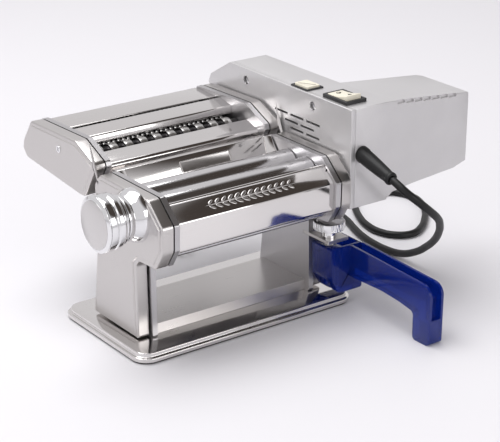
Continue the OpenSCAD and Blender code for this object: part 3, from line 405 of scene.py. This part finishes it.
def carried(material, slot, *names, width=0.0003):
    """Machined and moulded inner parts keep their drawn shape, with the edges broken"""
    for name in names:
        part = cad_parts[name]
        weld = part.modifiers.new("weld", "WELD")
        weld.merge_threshold = 0.00001
        edges = part.modifiers.new("broken_edges", "BEVEL")
        edges.width = width
        edges.segments = 2
        edges.limit_method = "ANGLE"
        edges.angle_limit = math.radians(50)
        part.data.materials.clear()
        part.data.materials.append(material)


carried(rubber, "foot_rubber", "rubber_edging")

# ---- frame ----
# Two 5 mm steel side plates, a channel between their feet, three tie rods, bushes
# and scrapers. The inner edges show between the covers and under the rollers.

frame_steel = ground_metal("frame_steel", (0.52, 0.51, 0.52), 0.3, across=(400, 400, 1))
roller_steel = ground_metal("roller_steel", (0.70, 0.69, 0.70), 0.13, across=(1, 1, 500))
sintered = ground_metal("bronze", (0.55, 0.34, 0.13), 0.35)
carried(frame_steel, "frame_steel", "left_frame_plate", "right_frame_plate", width=0.0006)
carried(satin_steel, "satin_steel", "cross_member", "cutter_hooks", "arm_bracket")
carried(roller_steel, "roller_steel", "tie_rods", "roller_scrapers", "roller_yoke", "knob_shaft",
        width=0.0002)
carried(sintered, "bronze", "roller_bushes")

# ---- side covers ----
# Pressed satin stainless covers over the frame plates, 1.5 mm thick.
# Each is drawn outwards from its edge, its face is raised inside a narrow rim, and it is
# left open towards the frame plate.


def pressed(name, outline, side):
    """A pressed cover: the outline is in Y and Z, the side is -1 for the left, 1 for the right"""
    cover = outlined(name, [(side * 0.0863, y / 1000, z / 1000) for y, z in outline])
    push(side * 0.0107, 0, 0)
    bpy.ops.mesh.inset(thickness=0.0036)
    bpy.ops.mesh.inset(thickness=0.0009)
    bpy.ops.transform.translate(value=(side * 0.0009, 0, 0))
    outward()
    pick("faces", lambda f: f.normal.x * side < -0.9)
    bpy.ops.mesh.delete(type="ONLY_FACE")
    pick("edges", lambda e: abs(e.verts[0].co.x - e.verts[1].co.x) > 0.008)
    bpy.ops.mesh.bevel(offset=0.0026, segments=4)
    pick("edges", lambda e: all(abs(abs(v.co.x) - 0.0107) < 1e-5 for v in e.verts)
         and e.calc_face_angle(0) > 1)
    bpy.ops.mesh.bevel(offset=0.0014, segments=4)
    bpy.ops.object.mode_set(mode="OBJECT")
    bpy.ops.object.transform_apply(location=True, rotation=True, scale=True)
    modify(cover, "SOLIDIFY", thickness=0.0012, offset=-1)
    return cover


side_outline = [(-54.4, 140.5), (-75.5, 121.8), (-75, 100), (-64.5, 83.4), (-39, 82), (-34, 77),
                (-35.5, 10.6), (35, 10.6), (27.5, 68.4), (27.5, 130.4), (19, 140.5)]
left_cover = pressed("left_cover", side_outline, -1)
right_cover = pressed("right_cover", side_outline, 1)


def hole(piece, centre, radius, axis="X", depth=0.01):
    """Drill a round hole through a piece"""
    turn = {"X": (0, math.pi / 2, 0), "Y": (math.pi / 2, 0, 0), "Z": (0, 0, 0)}[axis]
    bpy.ops.mesh.primitive_cylinder_add(vertices=48, radius=radius, depth=depth,
                                        location=centre, rotation=turn)
    drill = bpy.context.object
    modify(piece, "BOOLEAN", object=drill, operation="DIFFERENCE", solver="EXACT")
    bpy.data.objects.remove(drill)


front_axis = (-35.7, 122.4)
rear_axis = (-8.9, 122.4)
hole(left_cover, (-0.097, front_axis[0] / 1000, front_axis[1] / 1000), 0.010)
hole(right_cover, (0.097, rear_axis[0] / 1000, rear_axis[1] / 1000), 0.007)
finish(left_cover, satin_steel, "root", "satin_steel", "left_side_cover")
finish(right_cover, satin_steel, "root", "satin_steel", "right_side_cover")

# ---- front cover ----
# Folded polished sheet in front of the front roller, with a rolled top edge.
# An embossed ear of wheat runs along its slanted face.


def folded(name, line, thickness, crease, x0=-0.0799, x1=0.0799):
    """Sheet that follows an open line in Y and Z, from x0 to x1, with rounded creases"""
    panel = draw(name, [(x0, y / 1000, z / 1000) for y, z in line])
    if crease:
        ends = [Vector((0, y, z)) / 1000 for y, z in (line[0], line[-1])]
        start = panel.location.copy()
        pick("verts", lambda v: all(((v.co + start) - e).yz.length > 1e-5 for e in ends))
        bpy.ops.mesh.bevel(offset=crease, segments=4, affect="VERTICES")
    bpy.ops.mesh.select_all(action="SELECT")
    bpy.ops.mesh.extrude_edges_move(TRANSFORM_OT_translate={"value": (x1 - x0, 0, 0)})
    outward()
    bpy.ops.object.mode_set(mode="OBJECT")
    modify(panel, "SOLIDIFY", thickness=thickness, offset=-1)
    modify(panel, "BEVEL", width=0.0003, segments=2, limit_method="ANGLE",
           angle_limit=math.radians(50))
    return panel


front_line = [(-60.5, 94.9), (-70, 94.9), (-72.2, 97.4), (-72.2, 121.4), (-57.6, 134.1)]
front = folded("front_shield", front_line, 0.0014, 0.0012)
finish(front, polished_steel, "root", "polished_steel", "front_cover")
bead = spun("front_bead", [(0, -0.0799), (0.0013, -0.0799), (0.0017, -0.0795), (0.0017, 0.0795),
                           (0.0013, 0.0799), (0, 0.0799)], 24)
bead.location = (0, -0.0574, 0.1330)
finish(bead, polished_steel, "root", "polished_steel")

slant = Vector((0, -0.0146, -0.0127)).normalized()
ear_middle = Vector((-0.002, -0.0649, 0.12775))
lean_of_face = math.atan2(slant.z, -slant.y)
bpy.ops.mesh.primitive_uv_sphere_add(segments=24, ring_count=12, radius=0.001, location=ear_middle)
ear = bpy.context.object
ear.name = "wheat_ear"
ear.scale = (46, 0.55, 0.5)
ear.rotation_euler = (-lean_of_face, 0, 0)
leaves = [ear]
for k in range(13):
    for side in (-1, 1):
        x = -0.040 + 0.0067 * k
        size = 1 - 0.35 * abs(k - 5) / 8
        place = ear_middle + Vector((x, 0, 0)) - side * 0.0026 * slant
        bpy.ops.mesh.primitive_uv_sphere_add(segments=16, ring_count=10, radius=0.001, location=place)
        leaf = bpy.context.object
        leaf.scale = (3.9 * size, 1.5 * size, 0.5)
        leaf.rotation_euler = (Matrix.Rotation(-lean_of_face, 3, "X")
                               @ Matrix.Rotation(side * 0.55, 3, "Z")).to_euler()
        leaves.append(leaf)
bpy.ops.object.select_all(action="DESELECT")
for leaf in leaves:
    leaf.select_set(True)
bpy.context.view_layer.objects.active = ear
bpy.ops.object.join()
finish(ear, satin_steel, "root", "satin_steel", smooth=60)

# ---- rear cover and hopper ----
# A plain folded panel closes the back. A sloping plate with a wing at each end leads the
# dough to the rollers; it carries a small blank plaque with a raised border.

rear_panel = folded("rear_panel", [(20.8, 140), (26, 139.4), (26, 60.4)], 0.0014, 0.0012)
finish(rear_panel, satin_steel, "root", "satin_steel", "rear_cover")
hopper = folded("hopper", [(9.5, 123.8), (19.3, 139.8), (20.6, 140.1)], 0.0012, 0.0004)
finish(hopper, polished_steel, "root", "polished_steel", "hopper_plate")
for side in (-1, 1):
    wing = outlined("left_wing" if side < 0 else "right_wing",
                    [(side * 0.0725, 0.0193, 0.1398), (side * 0.070, 0.0095, 0.1238),
                     (side * 0.0792, 0.0045, 0.1248), (side * 0.0792, 0.0173, 0.1398)])
    bpy.ops.object.mode_set(mode="OBJECT")
    modify(wing, "SOLIDIFY", thickness=0.001, offset=0)
    modify(wing, "BEVEL", width=0.0003, segments=2)
    finish(wing, polished_steel, "root", "polished_steel")

plate_fall = math.atan2(16, 9.8)
plaque = outlined("blank_plaque", [(-0.026, -0.0052, 0), (0.026, -0.0052, 0), (0.026, 0.0052, 0),
                                   (-0.026, 0.0052, 0)], 0.002, 5)
push(0, 0, 0.0011)
bpy.ops.mesh.inset(thickness=0.001)
push(0, 0, -0.0005)
outward()
bpy.ops.object.mode_set(mode="OBJECT")
modify(plaque, "BEVEL", width=0.0002, segments=2, limit_method="ANGLE")
plaque.matrix_world = (Matrix.Translation((0.007, 0.0144, 0.1318))
                       @ Matrix.Rotation(plate_fall, 4, "X") @ plaque.matrix_world)
finish(plaque, satin_steel, "root", "satin_steel", "name_plaque")

# ---- rollers ----
# Two ground steel rollers with turned shafts. The rear one is driven; the front one sits
# in a sliding yoke that the knob moves. Their nine-tooth gears are at the right.


def turned(name, profile, height, width=0.0006, steps=96):
    """A turned piece whose axis runs along X at a place in Y and Z"""
    piece = spun(name, [(r / 1000, x / 1000) for r, x in profile], steps)
    modify(piece, "BEVEL", width=width, segments=3, limit_method="ANGLE",
           angle_limit=math.radians(35))
    piece.location = (0, height[0] / 1000, height[1] / 1000)
    return piece


rear_roller = turned("rear_roller_turned", [
    (0, -86), (6, -86), (6, -79.5), (12.5, -79.5), (12.5, 79.5), (6, 79.5), (6, 96), (4.4, 96),
    (4.4, 90.2), (0, 90.2)], rear_axis)
finish(rear_roller, roller_steel, "roller_drive", "roller_steel", "rear_roller")
front_roller = turned("front_roller_turned", [
    (0, -85.3), (6, -85.3), (6, -79.5), (12.5, -79.5), (12.5, 79.5), (6, 79.5), (6, 93.5),
    (0, 93.5)], front_axis)
finish(front_roller, roller_steel, "front_roller", "roller_steel", "front_roller")
gear_steel = ground_metal("gear_steel", (0.42, 0.41, 0.41), 0.33)
carried(gear_steel, "gear_steel", "rear_roller_gear", "front_roller_gear")

# ---- adjusting knob ----
# Chromed zinc. A domed hub on the cover has a ring of index holes; the grip has turned
# grooves and a satin cap with a bevelled edge. It slides on the squared shaft.

chrome = ground_metal("wheel_chrome", (0.80, 0.80, 0.81), 0.06, across=(1, 1, 200), smudge=0.02)
zinc = ground_metal("zinc", (0.66, 0.65, 0.65), 0.24)
hub = turned("knob_hub_turned", [
    (9.9, -97.2), (23.2, -97.2), (22.8, -100), (22.4, -102), (20.8, -105.5), (19, -108.5),
    (19.6, -110.5), (20, -111.2), (20, -114), (16.7, -114), (16.7, -112),
    (13.3, -112), (13.3, -114), (5.1, -114), (5.1, -98), (9.9, -98)], front_axis, 0.0004)
for step in range(-5, 6):
    angle = math.radians(15 * step)
    hole(hub, (-0.114, -0.0357 - 0.015 * math.sin(angle), 0.1224 + 0.015 * math.cos(angle)),
         0.0017, depth=0.0066)
finish(hub, chrome, "root", "wheel_chrome", "knob_hub")

grip = turned("knob_grip_turned", [
    (5.5, -115.2), (21, -115.2), (21.8, -116.2), (21.8, -118.2), (23.4, -120.2), (23.4, -124.2),
    (22.4, -125.2), (22.4, -126.2), (24, -127.2), (24, -133.2), (9, -133.2), (9, -121.2),
    (5.5, -121.2)], front_axis, 0.0004)
bpy.ops.mesh.primitive_cylinder_add(vertices=32, radius=0.00145, depth=0.004,
                                    location=(-0.1142, -0.0357, 0.1374),
                                    rotation=(0, math.pi / 2, 0))
pin = bpy.context.object
modify(pin, "BEVEL", width=0.0004, segments=2, limit_method="ANGLE")
pin.name = "index_pin"
finish(pin, roller_steel, "knob_grip", "roller_steel")
finish(grip, chrome, "knob_grip", "wheel_chrome", "knob_body")
cap = turned("knob_cap_turned", [
    (0, -133.3), (23.5, -133.3), (24, -133.9), (23.8, -134.3), (20.9, -136), (20.4, -135.7),
    (0, -135.7)], front_axis, 0.0002)
finish(cap, chrome, "knob_grip", "wheel_chrome", "knob_cap")
satin_cap = ground_metal("cap_satin", (0.62, 0.605, 0.60), 0.27, across=(1, 1, 300))
cap_face = turned("knob_cap_face", [
    (0, -135.6), (20.3, -135.6), (20.3, -136), (19.9, -136.2), (0, -136.2)], front_axis, 0.0001)
finish(cap_face, satin_cap, "knob_grip", "satin_steel")
carried(gear_steel, "gear_steel", "knob_spring", width=0.00005)

# ---- cutting head ----
# Pressed side covers like the machine's own, folded deflectors and panels between its two
# plates, and four ring cutters: a wide pair in front, a narrow pair behind.

head_outline = [(57, 159.4), (28.5, 147), (26.6, 142.4), (44.5, 113.2), (50.5, 112.4),
                (144, 120.3), (150.6, 127.5), (149, 135.4), (134, 157)]
head_left = pressed("head_left_cover", head_outline, -1)
hole(head_left, (-0.0975, 0.0845, 0.1447), 0.0034)
finish(head_left, satin_steel, "root", "satin_steel", "cutter_left_cover")
head_right = pressed("head_right_cover", head_outline, 1)
hole(head_right, (0.0975, 0.0845, 0.1524), 0.0034)
hole(head_right, (0.097, 0.07242, 0.13458), 0.0055)
hole(head_right, (0.097, 0.09327, 0.13706), 0.0055)
finish(head_right, satin_steel, "root", "satin_steel", "cutter_right_cover")
carried(frame_steel, "frame_steel", "cutter_left_plate", "cutter_right_plate", width=0.0006)
carried(chrome, "wheel_chrome", "cover_screws", width=0.0002)
carried(frame_steel, "frame_steel", "cutter_combs", width=0.0002)
# The cutter steel carries painted shade: its colour goes near black down in the grooves between the
# rings and mid grey on the ring tops, set by distance from each cutter's axis.
ring_foot = 0.0092
ring_top = 0.0097
painted_groove_shade = (0.035, 0.033, 0.034, 1)
shade_of_rings = (0.50, 0.49, 0.48, 1)
for name, y, z in [("wide_cutter_front", 0.05405, 0.132), ("wide_cutter_rear", 0.07242, 0.134183),
                   ("narrow_cutter_front", 0.09327, 0.136661),
                   ("narrow_cutter_rear", 0.11164, 0.138844)]:
    ringed, tree, shader = nodes_of(name + "_steel")
    spot = add(tree, "ShaderNodeTexCoord")
    from_axis = add(tree, "ShaderNodeVectorMath", operation="SUBTRACT")
    from_axis.inputs[1].default_value = (0, y, z)
    flat = add(tree, "ShaderNodeVectorMath", operation="MULTIPLY")
    flat.inputs[1].default_value = (0, 1, 1)
    reach = add(tree, "ShaderNodeVectorMath", operation="LENGTH")
    painted_groove_shade_mask = add(tree, "ShaderNodeMapRange", From_Min=ring_foot, From_Max=ring_top)
    wear = add(tree, "ShaderNodeTexNoise", Scale=90.0, Detail=3.0)
    shine = add(tree, "ShaderNodeMapRange", To_Min=0.14, To_Max=0.26)
    tone = add(tree, "ShaderNodeMix", data_type="RGBA")
    # painted shade in the grooves, mid grey on the ring tops
    tone.inputs[6].default_value = painted_groove_shade
    tone.inputs[7].default_value = shade_of_rings
    tree.links.new(spot.outputs["Object"], from_axis.inputs[0])
    tree.links.new(from_axis.outputs[0], flat.inputs[0])
    tree.links.new(flat.outputs[0], reach.inputs[0])
    tree.links.new(reach.outputs["Value"], painted_groove_shade_mask.inputs["Value"])
    tree.links.new(painted_groove_shade_mask.outputs[0], tone.inputs[0])
    tree.links.new(tone.outputs[2], shader.inputs["Base Color"])
    tree.links.new(spot.outputs["Object"], wear.inputs["Vector"])
    tree.links.new(wear.outputs["Fac"], shine.inputs["Value"])
    tree.links.new(shine.outputs[0], shader.inputs["Roughness"])
    shader.inputs["Metallic"].default_value = 0.9
    carried(ringed, "roller_steel", name, width=0.0002)

head_panels = [
    ("head_front_panel", [(45.6, 116), (36.6, 133.9), (36.2, 138), (38, 140.4), (42.5, 140.8),
                          (56, 145), (56.5, 143.2)], "cutter_front_panel"),
    ("head_roof", [(77.2, 145.2), (78.6, 150.4), (79.5, 152), (97, 155.3), (95.4, 148)],
     "cutter_roof"),
    ("head_rear_panel", [(143, 122), (148.4, 127.4), (147, 135), (132.5, 156), (104.8, 154.2),
                         (105.6, 148.6)], "cutter_rear_panel")]
for name, line, node in head_panels:
    panel = folded(name, line, 0.0012, 0.0008)
    finish(panel, polished_steel, "root", "polished_steel", node)

# ---- motor unit ----
# Two moulded halves in satin silver paint, 2.5 mm thick, that meet in a fine seam.
# The gearbox outline and the stepped motor box are joined, rounded, cut at the seam and
# hollowed; then the vents, screw wells and openings are cut.

paint = plastic("silver_plastic", (0.60, 0.59, 0.595), 0.34, mottle=0.02, grain=1800.0,
                depth=0.000008, metallic=0.7, coat=0.1)
gearbox_side = [(-70.4, 182.6), (-70.4, 92.7), (40, 92.7), (66, 100.4), (104, 119.4),
                (129, 144.4), (143, 155.4), (139, 164.4), (108, 182.6)]
box_front = [(130, 94.2), (142, 94.3), (147, 98.3), (170.6, 101.6), (219, 105.6), (234, 110.4),
             (237, 115.4), (237, 168.4), (233, 174.4), (141, 182.6), (130, 182.6)]
box_plan = [(129, -70.4), (233, -70.4), (237, -66.4), (237, -14), (229, -4), (141, -2), (129, -2)]


def prism(name, corners, step, wall):
    """A solid drawn out from an outline that is first set in by the wall"""
    made = outlined(name, corners)
    if wall:
        bpy.ops.mesh.inset(thickness=wall)
        bpy.ops.mesh.select_all(action="INVERT")
        bpy.ops.mesh.delete(type="VERT")
        bpy.ops.mesh.select_all(action="SELECT")
    push(*step)
    outward()
    bpy.ops.object.mode_set(mode="OBJECT")
    return made


def motor_form(name, wall):
    """The whole form of the motor unit: the gearbox with the stepped motor box joined to it"""
    form = prism(name, [(0.099 + wall, y / 1000, z / 1000) for y, z in gearbox_side],
                 (0.042 - 2 * wall, 0, 0), wall)
    motor_box = prism("motor_box", [(x / 1000, -0.08, z / 1000) for x, z in box_front],
                      (0, 0.1, 0), wall)
    plan = prism("motor_plan", [(x / 1000, y / 1000, 0.08) for x, y in box_plan],
                 (0, 0, 0.12), wall)
    modify(motor_box, "BOOLEAN", object=plan, operation="INTERSECT", solver="EXACT")
    modify(form, "BOOLEAN", object=motor_box, operation="UNION", solver="EXACT")
    bpy.data.objects.remove(plan)
    bpy.data.objects.remove(motor_box)
    bpy.ops.object.mode_set(mode="EDIT")
    bpy.ops.mesh.select_all(action="SELECT")
    bpy.ops.mesh.remove_doubles(threshold=0.00005)
    bpy.ops.mesh.dissolve_limited(angle_limit=math.radians(1))
    bpy.ops.object.mode_set(mode="OBJECT")
    bpy.ops.object.transform_apply(location=True, rotation=True, scale=True)
    return form


gearbox = motor_form("motor_half", 0)
modify(gearbox, "BEVEL", width=0.0026, segments=4, limit_method="ANGLE",
       angle_limit=math.radians(28))
hollow = motor_form("motor_hollow", 0.0025)


def block(low, high):
    """A cutting block between two corners given in millimetres"""
    low, high = Vector(low) / 1000, Vector(high) / 1000
    bpy.ops.mesh.primitive_cube_add(size=1, location=(low + high) / 2)
    made = bpy.context.object
    made.scale = high - low
    return made


def cut(pieces, tools, operation="DIFFERENCE"):
    """Join the tools and cut them out of each piece"""
    bpy.ops.object.select_all(action="DESELECT")
    for tool in tools:
        tool.select_set(True)
    bpy.context.view_layer.objects.active = tools[0]
    bpy.ops.object.join()
    joined = bpy.context.object
    for piece in pieces:
        modify(piece, "BOOLEAN", object=joined, operation=operation, solver="EXACT")
    bpy.data.objects.remove(joined)


half = gearbox.copy()
half.data = gearbox.data.copy()
half.name = "gearbox_half"
bpy.context.scene.collection.objects.link(half)
cut([half], [block((80, -200, 0), (104, 200, 300))], "INTERSECT")
cut([gearbox], [block((80, -200, 0), (104, 200, 300))])
cut([half, gearbox], [hollow])
for shell in (half, gearbox):
    bpy.ops.object.select_all(action="DESELECT")
    bpy.context.view_layer.objects.active = shell
    shell.select_set(True)
    bpy.ops.object.mode_set(mode="EDIT")
    pick("edges", lambda e: all(abs(v.co.x - 0.104) < 1e-5 for v in e.verts)
         and e.calc_face_angle(0) > 0.8)
    bpy.ops.mesh.bevel(offset=0.0004, segments=2)
    bpy.ops.object.mode_set(mode="OBJECT")

vents = []
for row, (height, rear, front) in enumerate([(155.6, 41.8, -27), (149.4, 38, -27),
                                             (143.4, 20, -27), (137.4, 20, -27),
                                             (131.9, 20, -27), (126.9, 14, -27)]):
    start = front + 8 * (row % 2)
    while start + 19 <= rear:
        vents.append(block((98, start, height), (102.6, start + 19, height + 2)))
        start += 23
cut([half], vents)
wells = [(82.2, 171.8), (-16.7, 172.6), (-62, 102.4), (14, 101.4)]
for y, z in wells:
    hole(half, (0.0995, y / 1000, z / 1000), 0.004, depth=0.006)
for y, z, r in [(-8.9, 122.4, 5.2), (72.42, 134.58, 4.2), (93.27, 137.06, 4.2)]:
    hole(half, (0.0995, y / 1000, z / 1000), r / 1000, depth=0.006)
cut([half, gearbox], [block((102, -5, 176), (119, 17, 184)),
                      block((104.5, -56.5, 176), (124.5, -26.5, 184))])
cut([gearbox], [block((x, -72, 179.2 - 0.0892 * (x - 141)), (x + 8.6, -68.3, 184))
                for x in range(150, 211, 10)])
hole(gearbox, (0.1115, -0.0704, 0.141), 0.005, axis="Y", depth=0.012)
finish(half, paint, "root", "silver_plastic", "gearbox_cover")
finish(gearbox, paint, "root", "silver_plastic", "motor_housing")
for y, z in wells:
    well = turned("screw_well_" + str(wells.index((y, z)) + 1), [
        (4, 99.7), (4, 103), (1.7, 103), (1.7, 113), (5, 113), (5, 100.2), (4.6, 99.7)],
        (y, z), 0.0002, 48)
    finish(well, paint, "root", "silver_plastic")

# ---- switches ----
# A cream push key in a thin black frame and a cream rocker in a deep black frame.
# The rocker has a raised bar and ring; both keys have softly rounded edges.


def ring_frame(name, centre, inner, outer, low, high):
    """A rectangular frame with a bevelled rim, in millimetres"""
    x, y = centre
    a, b = inner
    frame_piece = outlined(name, [((x - outer[0]) / 1000, (y - outer[1]) / 1000, high / 1000),
                                  ((x + outer[0]) / 1000, (y - outer[1]) / 1000, high / 1000),
                                  ((x + outer[0]) / 1000, (y + outer[1]) / 1000, high / 1000),
                                  ((x - outer[0]) / 1000, (y + outer[1]) / 1000, high / 1000)],
                           0.0012, 3)
    push(0, 0, (low - high) / 1000)
    outward()
    bpy.ops.object.mode_set(mode="OBJECT")
    cut([frame_piece], [block((x - a, y - b, low + 1.5), (x + a, y + b, high + 1))])
    modify(frame_piece, "BEVEL", width=0.0005, segments=3, limit_method="ANGLE",
           angle_limit=math.radians(40))
    return frame_piece


thin_frame = ring_frame("button_frame", (110.5, 6), (7.3, 9.8), (8.5, 11), 173.6, 183.8)
deep_frame = ring_frame("rocker_frame", (114.5, -41.5), (8.8, 13.8), (10, 15), 170.6, 185.6)
finish(thin_frame, black_abs, "root", "black_plastic", "switch_bezels")
finish(deep_frame, black_abs, "root", "black_plastic")
for name, centre, inner, outer, low, high in [
        ("button_flange", (110.5, 6), (8.4, 10.9), (9.5, 12), 182.65, 183.8),
        ("rocker_flange", (114.5, -41.5), (9.9, 14.9), (11.5, 16.5), 182.65, 185.6)]:
    flange = ring_frame(name, centre, inner, outer, low - 1.5, high)
    bpy.ops.object.select_all(action="DESELECT")
    cut([flange], [block((80, -80, 178), (140, 40, 182.62))])
    finish(flange, black_abs, "root", "black_plastic")

cream = plastic("cream_plastic", (0.72, 0.68, 0.56), 0.35, mottle=0.03)
key = outlined("push_button", [(0.1035, -0.0035, 0.1781), (0.1175, -0.0035, 0.1781),
                               (0.1175, 0.0155, 0.1781), (0.1035, 0.0155, 0.1781)], 0.0012, 3)
push(0, 0, 0.0075)
bpy.ops.mesh.inset(thickness=0.0022, depth=0.0004)
outward()
bpy.ops.object.mode_set(mode="OBJECT")
modify(key, "BEVEL", width=0.0007, segments=3, limit_method="ANGLE", angle_limit=math.radians(30))
finish(key, cream, "push_button", "cream_plastic", "push_key")

rocker = outlined("rocker_switch", [(-0.0083, y / 1000, z / 1000) for y, z in [
    (-12.9, 0.5), (-2, -4), (2, -4), (12.9, 0.5), (12.9, 5.6), (6.5, 4.8), (0, 4.4), (-6.5, 4.8),
    (-12.9, 5.6)]])
push(0.0166, 0, 0)
outward()
bpy.ops.object.mode_set(mode="OBJECT")
modify(rocker, "BEVEL", width=0.0007, segments=3, limit_method="ANGLE",
       angle_limit=math.radians(30))
mark = block((-0.5, -9.6, 4.7), (0.5, -5.6, 5.45))
bpy.ops.mesh.primitive_torus_add(location=(0, 0.0078, 0.0050), major_radius=0.0019,
                                 minor_radius=0.00035, major_segments=32, minor_segments=8)
zero = bpy.context.object
rest = (Matrix.Translation((0.1145, -0.0415, 0.1821)) @ Matrix.Rotation(math.radians(-8), 4, "X"))
bpy.ops.object.select_all(action="DESELECT")
mark.select_set(True)
zero.select_set(True)
bpy.context.view_layer.objects.active = mark
bpy.ops.object.transform_apply(location=True, rotation=True, scale=True)
bpy.ops.object.join()
mark.name = "rocker_marks"
bpy.context.view_layer.update()
for piece, material, slot, nodes in ((rocker, cream, "cream_plastic", ["rocker_key"]),
                                     (mark, black_abs, "black_plastic", [])):
    piece.matrix_world = rest @ piece.matrix_world
    finish(piece, material, "rocker", slot, *nodes)

# ---- stabiliser ----
# Clear blue plastic arm with an open channel along its top and a hollow foot.
# A knurled chrome wheel turns the screw that raises and lowers it on its bracket.

blue, tree, shader = nodes_of("blue_plastic")
tone = add(tree, "ShaderNodeTexNoise", Scale=30.0)
deep = add(tree, "ShaderNodeValToRGB")
deep.color_ramp.elements[0].color = (0.003, 0.022, 0.27, 1)
deep.color_ramp.elements[1].color = (0.005, 0.035, 0.38, 1)
tree.links.new(tone.outputs["Fac"], deep.inputs[0])
tree.links.new(deep.outputs[0], shader.inputs["Base Color"])
shader.inputs["Roughness"].default_value = 0.12
shader.inputs["Transmission Weight"].default_value = 0.6
shader.inputs["IOR"].default_value = 1.49
shader.inputs["Coat Weight"].default_value = 0.0

arm = outlined("stabiliser", [(0.103, y / 1000, z / 1000) for y, z in [
    (-65.6, 57.5), (-167.5, 54), (-173.5, 48), (-172.9, 0), (-152.5, 0), (-152.5, 25),
    (-134.5, 28), (-110.5, 29.6), (-65.6, 28)]], 0.0035, 4)
push(0.015, 0, 0)
outward()
bpy.ops.object.mode_set(mode="OBJECT")
boss = outlined("arm_block", [(x / 1000, -0.0666, z / 1000) for x, z in [
    (83, 57), (84, 28), (92, 14), (118, 14), (118, 57)]], 0.002, 3)
push(0, 0.0276, 0)
outward()
bpy.ops.object.mode_set(mode="OBJECT")
modify(arm, "BOOLEAN", object=boss, operation="UNION", solver="EXACT")
bpy.data.objects.remove(boss)
channel = outlined("channel", [(0.1055, y / 1000, z / 1000) for y, z in [
    (-67.6, 62), (-178.5, 62), (-178.5, 23), (-166.5, 23), (-166.5, 42), (-161.5, 38),
    (-67.6, 38)]], 0.002, 4)
push(0.01, 0, 0)
outward()
bpy.ops.object.mode_set(mode="OBJECT")
modify(arm, "BOOLEAN", object=channel, operation="DIFFERENCE", solver="EXACT")
bpy.data.objects.remove(channel)
cut([arm], [block((105.5, -170.5, 3), (115.5, -151.5, 20))])
cut([arm], [block((96.5, -64.1, 18), (115.5, -41.5, 58))])
screw_at = Vector((0.0895, -0.0545, 0))
hole(arm, screw_at + Vector((0, 0, 0.04)), 0.00405, axis="Z", depth=0.06)
modify(arm, "BEVEL", width=0.0006, segments=3, limit_method="ANGLE", angle_limit=math.radians(40))
finish(arm, blue, "arm", "blue_plastic", "stabiliser_arm")

bpy.ops.mesh.primitive_cylinder_add(vertices=108, radius=0.014, depth=0.007,
                                    location=screw_at + Vector((0, 0, 0.0765)))
wheel = bpy.context.object
wheel.name = "thumb_wheel_knurled"
bpy.ops.object.mode_set(mode="EDIT")
bpy.ops.mesh.select_all(action="DESELECT")
pick("faces", lambda f: abs(f.normal.z) < 0.1
     and round(math.atan2(f.normal.y, f.normal.x) / math.radians(10 / 3)) % 3 == 0)
bpy.ops.mesh.extrude_region_shrink_fatten(TRANSFORM_OT_shrink_fatten={"value": -0.0009})
pick("faces", lambda f: abs(f.normal.z) > 0.9 and len(f.verts) > 20)
bpy.ops.mesh.inset(thickness=0.003)
bpy.ops.mesh.inset(thickness=0.0008, depth=-0.0006)
bpy.ops.object.mode_set(mode="OBJECT")
modify(wheel, "BEVEL", width=0.00035, segments=2, limit_method="ANGLE", angle_limit=math.radians(40))
finish(wheel, chrome, "thumb_wheel", "wheel_chrome", "arm_screw")
screw = spun("wheel_screw", [
    (0, 0.074), (0.007, 0.074), (0.007, 0.0656), (0.004, 0.0656), (0.004, 0.0624), (0.006, 0.0624),
    (0.006, 0.0614), (0.004, 0.0614)] + [
    (0.004 - 0.0005 * (k % 2), 0.0610 - 0.0006 * k) for k in range(52)] + [
    (0.003, 0.029), (0, 0.028)], 48)
screw.matrix_world = Matrix.Translation(screw_at) @ Matrix.Rotation(-math.pi / 2, 4, "Y")
finish(screw, chrome, "thumb_wheel", "wheel_chrome")

# ---- inside the motor unit ----
# Nylon compound gears on steel pins between the cover and a steel carrier plate, and the
# motor behind it. They show only through the vents.

nylon = plastic("gear_nylon", (0.66, 0.65, 0.6), 0.42)
carried(nylon, "gear_nylon", "first_gear", "second_gear", "output_gear", "idler_gear",
        "wide_drive_gear", "narrow_drive_gear", width=0.00015)
carried(gear_steel, "gear_steel", "gear_pins", "gear_carrier", "motor_rotor", "motor_can",
        width=0.0002)

high_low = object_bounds()
size = {"loaded": [list(cad_low), list(cad_high)], "end": [list(high_low[0]), list(high_low[1])]}
